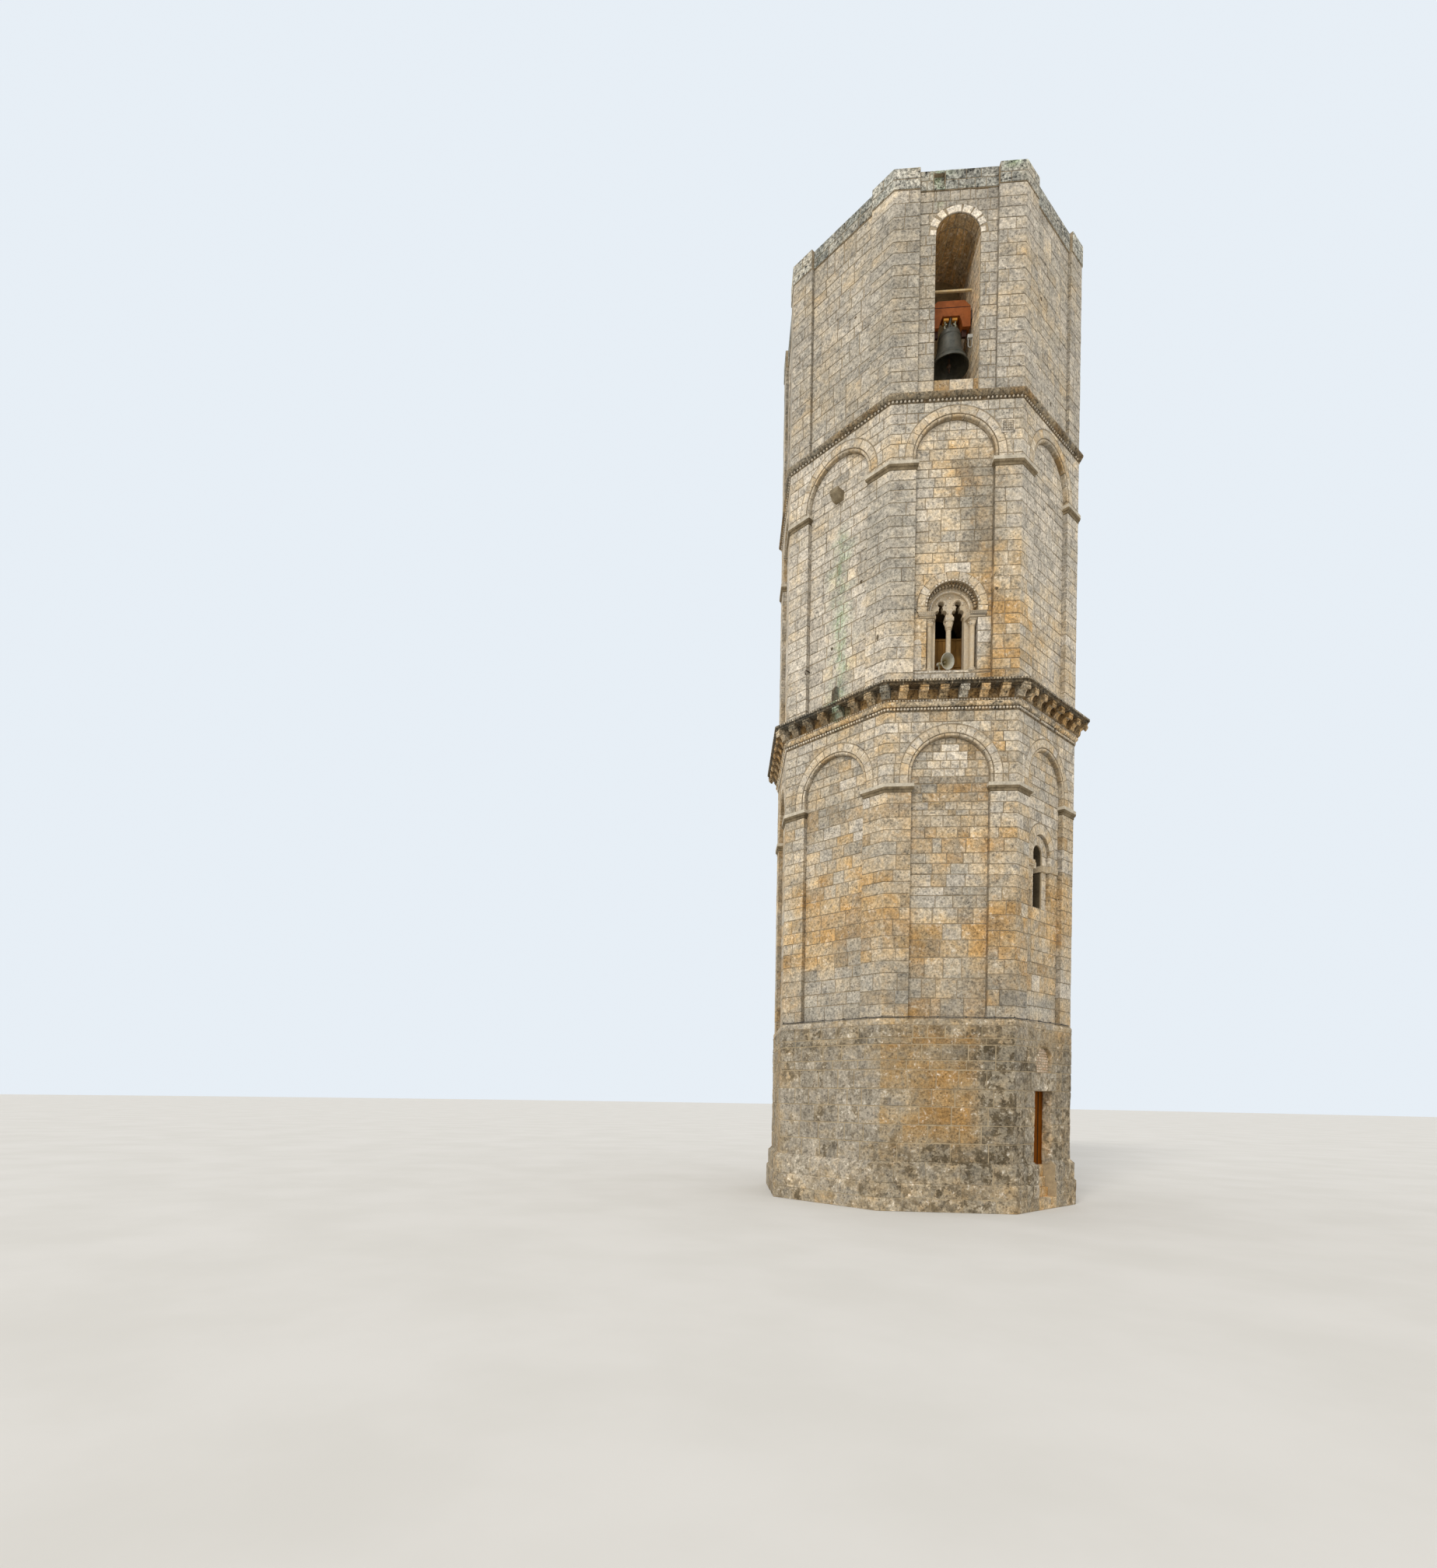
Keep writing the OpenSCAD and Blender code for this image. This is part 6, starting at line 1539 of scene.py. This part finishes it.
def metalFinish(name, colour, second, stain, roughness, metallic, scale, amount, bump=0.25, bands=(), throatShade=None):
    made = Finish(name)
    mottle, grain = made.noise(scale, 7, 0.65), made.noise(60, 5, 0.7)
    runs = made.noise(7, 6, 0.65, (1, 1, 0.12))
    mixed = made.mix(mottle.ramp(0.4, 0.62), colour, second)
    mixed = made.mix(runs.ramp(0.5, 0.72) * amount, mixed, stain)
    if bands:  # dark between these levels
        z = made.height()
        for bottom, top in bands:
            mixed = made.mix(z.ramp(bottom, bottom + 0.002) * (1 - z.ramp(top, top + 0.002)), mixed,
                             (0.040, 0.012, 0.006))
    if throatShade:  # painted shade: the inside of the horn is darker towards its throat
        facing = made.dot(made.node("ShaderNodeNewGeometry", out="Normal"), hornAxis)
        along = made.dot(made.place, hornAxis) - hornStart.dot(hornAxis)
        mixed = made.mix(facing.ramp(0.05, 0.30) * (1 - along.ramp(0.16, 0.29)), mixed, throatShade)
    mixed = made.mix(1.0, mixed, made.grey(0.88 + grain * 0.24), "MULTIPLY")
    return made.close(mixed, roughness + (mottle - 0.5) * 0.2, made.bump(mottle * 0.4 + grain * 0.4, bump, 0.004),
                      metallic)


bronze = metalFinish("greenedBronze", (0.088, 0.085, 0.066), (0.058, 0.058, 0.046), (0.032, 0.045, 0.037), 0.55, 0.30,
                     7, 0.6)
redPaint = metalFinish("redOxidePaint", (0.305, 0.082, 0.014), (0.228, 0.060, 0.009), (0.366, 0.135, 0.034), 0.6, 0.0,
                       6, 0.35, bands=((21.50, 21.718), (22.196, 22.214)))
darkIron = metalFinish("rustedIron", (0.055, 0.042, 0.034), (0.110, 0.055, 0.028), (0.030, 0.024, 0.020), 0.75, 0.3,
                       14, 0.6, 0.4)
hornPaint = metalFinish("weatheredHornPaint", (0.520, 0.505, 0.430), (0.400, 0.380, 0.310), (0.240, 0.200, 0.130),
                        0.5, 0.0, 12, 0.5, throatShade=(0.260, 0.205, 0.085))
boxPlastic = metalFinish("greyBoxPlastic", (0.520, 0.520, 0.490), (0.450, 0.450, 0.420), (0.300, 0.280, 0.230), 0.45,
                         0.0, 10, 0.3)
barWood = woodFinish("paleBar", (0.640, 0.520, 0.320), (0.560, 0.400, 0.180), (0.330, 0.250, 0.130))
dress(bronze, "bell")
dress(redPaint, "headstock")
dress(darkIron, "clapper", "bell_bearings", "door_pintles")
dress(hornPaint, "horn_speaker")
dress(boxPlastic, "cable_box")
dress(barWood, "cross_bar")
cableSleeve = metalFinish("darkCableSleeve", (0.055, 0.050, 0.044), (0.085, 0.075, 0.062), (0.150, 0.125, 0.090), 0.6,
                          0.0, 10, 0.5)
ironHook.build(darkIron, "hinge_iron")
wallCable.build(cableSleeve, "box_plastic")
hornDetail.build(hornPaint, "horn_grey", smooth=True)
screenBoards.build(screenWood, "screen_wood")
# near-black wood for the rail: painted shade of the gap between the door leaves
gapShadeWood = woodFinish("gapShadeRailWood", (0.030, 0.018, 0.008), (0.022, 0.012, 0.006), (0.010, 0.007, 0.004), 0.1)
paleCoat = metalFinish("paleCanonCoat", (0.400, 0.400, 0.300), (0.300, 0.310, 0.220), (0.180, 0.160, 0.100), 0.6, 0.0,
                       10, 0.4)
ochrePlate = metalFinish("ochrePlates", (0.560, 0.290, 0.050), (0.560, 0.180, 0.018), (0.200, 0.110, 0.040), 0.6, 0.0,
                         12, 0.5)
drainShadeLining = metalFinish("mossyDrainPaintedShade", (0.010, 0.016, 0.008), (0.014, 0.024, 0.010), (0.008, 0.008, 0.006), 0.9, 0.0,
                         12, 0.5)
canons.build(paleCoat, "bell_bronze", body="bell", smooth=True)
plates.build(ochrePlate, "headstock_red", body="bell")
drainLining.build(drainShadeLining, "grey_stone")
gapShadeRail.build(gapShadeWood, "door_wood", body="wide_leaf")

print("floor, light and camera")
ground = Finish("paleFloor")
dust = ground.noise(0.35, 5)
floorTone = ground.mix(dust.ramp(0.3, 0.7), (0.66, 0.65, 0.62), (0.70, 0.69, 0.665))
floorMesh = bpy.data.meshes.new("studioFloor")
ringCount, floorRadius = 96, 260
rim = around(0, 0, floorRadius, [2 * pi * k / ringCount for k in range(ringCount)])
floorMesh.from_pydata([(x, y, -0.002) for x, y in rim], [], [tuple(range(ringCount))])
floorMesh.materials.append(ground.close(floorTone, 0.9))
studioFloor = bpy.data.objects.new("studioFloor", floorMesh)
bpy.context.scene.collection.objects.link(studioFloor)

scene = bpy.context.scene
world = bpy.data.worlds.new("paleSky")
scene.world = world
world.use_nodes = True
tree = world.node_tree
tree.nodes.clear()
shown, lighting, rays, either, blend, out = (tree.nodes.new("ShaderNode" + kind) for kind in (
    "Background", "Background", "LightPath", "Math", "MixShader", "OutputWorld"))
shown.inputs["Color"].default_value = (0.80, 0.86, 0.92, 1)
lighting.inputs["Color"].default_value = (1.0, 0.985, 0.96, 1)
lighting.inputs["Strength"].default_value = 0.86
either.operation = "MAXIMUM"
for source, target in ((rays.outputs["Is Camera Ray"], either.inputs[0]),
                       (rays.outputs["Is Glossy Ray"], either.inputs[1]), (either.outputs[0], blend.inputs[0]),
                       (lighting.outputs[0], blend.inputs[1]), (shown.outputs[0], blend.inputs[2]),
                       (blend.outputs[0], out.inputs[0])):
    tree.links.new(source, target)

lamp = bpy.data.objects.new("softSun", bpy.data.lights.new("softSun", "SUN"))
scene.collection.objects.link(lamp)
lamp.data.energy = 1.15
lamp.data.angle = radians(12)
lamp.data.color = (1.0, 0.965, 0.91)
lamp.rotation_euler = Vector((0.42, 0.74, -0.66)).to_track_quat("-Z", "Y").to_euler()

view = {"place": (-5.447, -23.866, 2.70), "yaw": -4.809, "roll": 0.888, "focal": 1055.69, "middle": (833.0, 1406.5),
        "size": (1847, 2016)}
camera = bpy.data.objects.new("viewCamera", bpy.data.cameras.new("viewCamera"))
scene.collection.objects.link(camera)
yaw, tilt = radians(view["yaw"]), radians(view["roll"])
forward = Vector((sin(yaw), cos(yaw), 0))
right, up = Vector((cos(yaw), -sin(yaw), 0)), Vector((0, 0, 1))
rightward = right * cos(tilt) + up * sin(tilt)
upward = up * cos(tilt) - right * sin(tilt)
camera.rotation_mode = "QUATERNION"
camera.matrix_world = Matrix([[rightward[i], upward[i], -forward[i]] for i in range(3)]).to_4x4()
camera.location = view["place"]
wide, high = view["size"]
camera.data.sensor_fit = "AUTO"
camera.data.sensor_width = sensor = 36  # millimetres
camera.data.lens = sensor * view["focal"] / high
camera.data.shift_x = (wide / 2 - view["middle"][0]) / high
camera.data.shift_y = (view["middle"][1] - high / 2) / high
camera.data.clip_end = 600
scene.camera = camera
scene.view_settings.view_transform = "Standard"
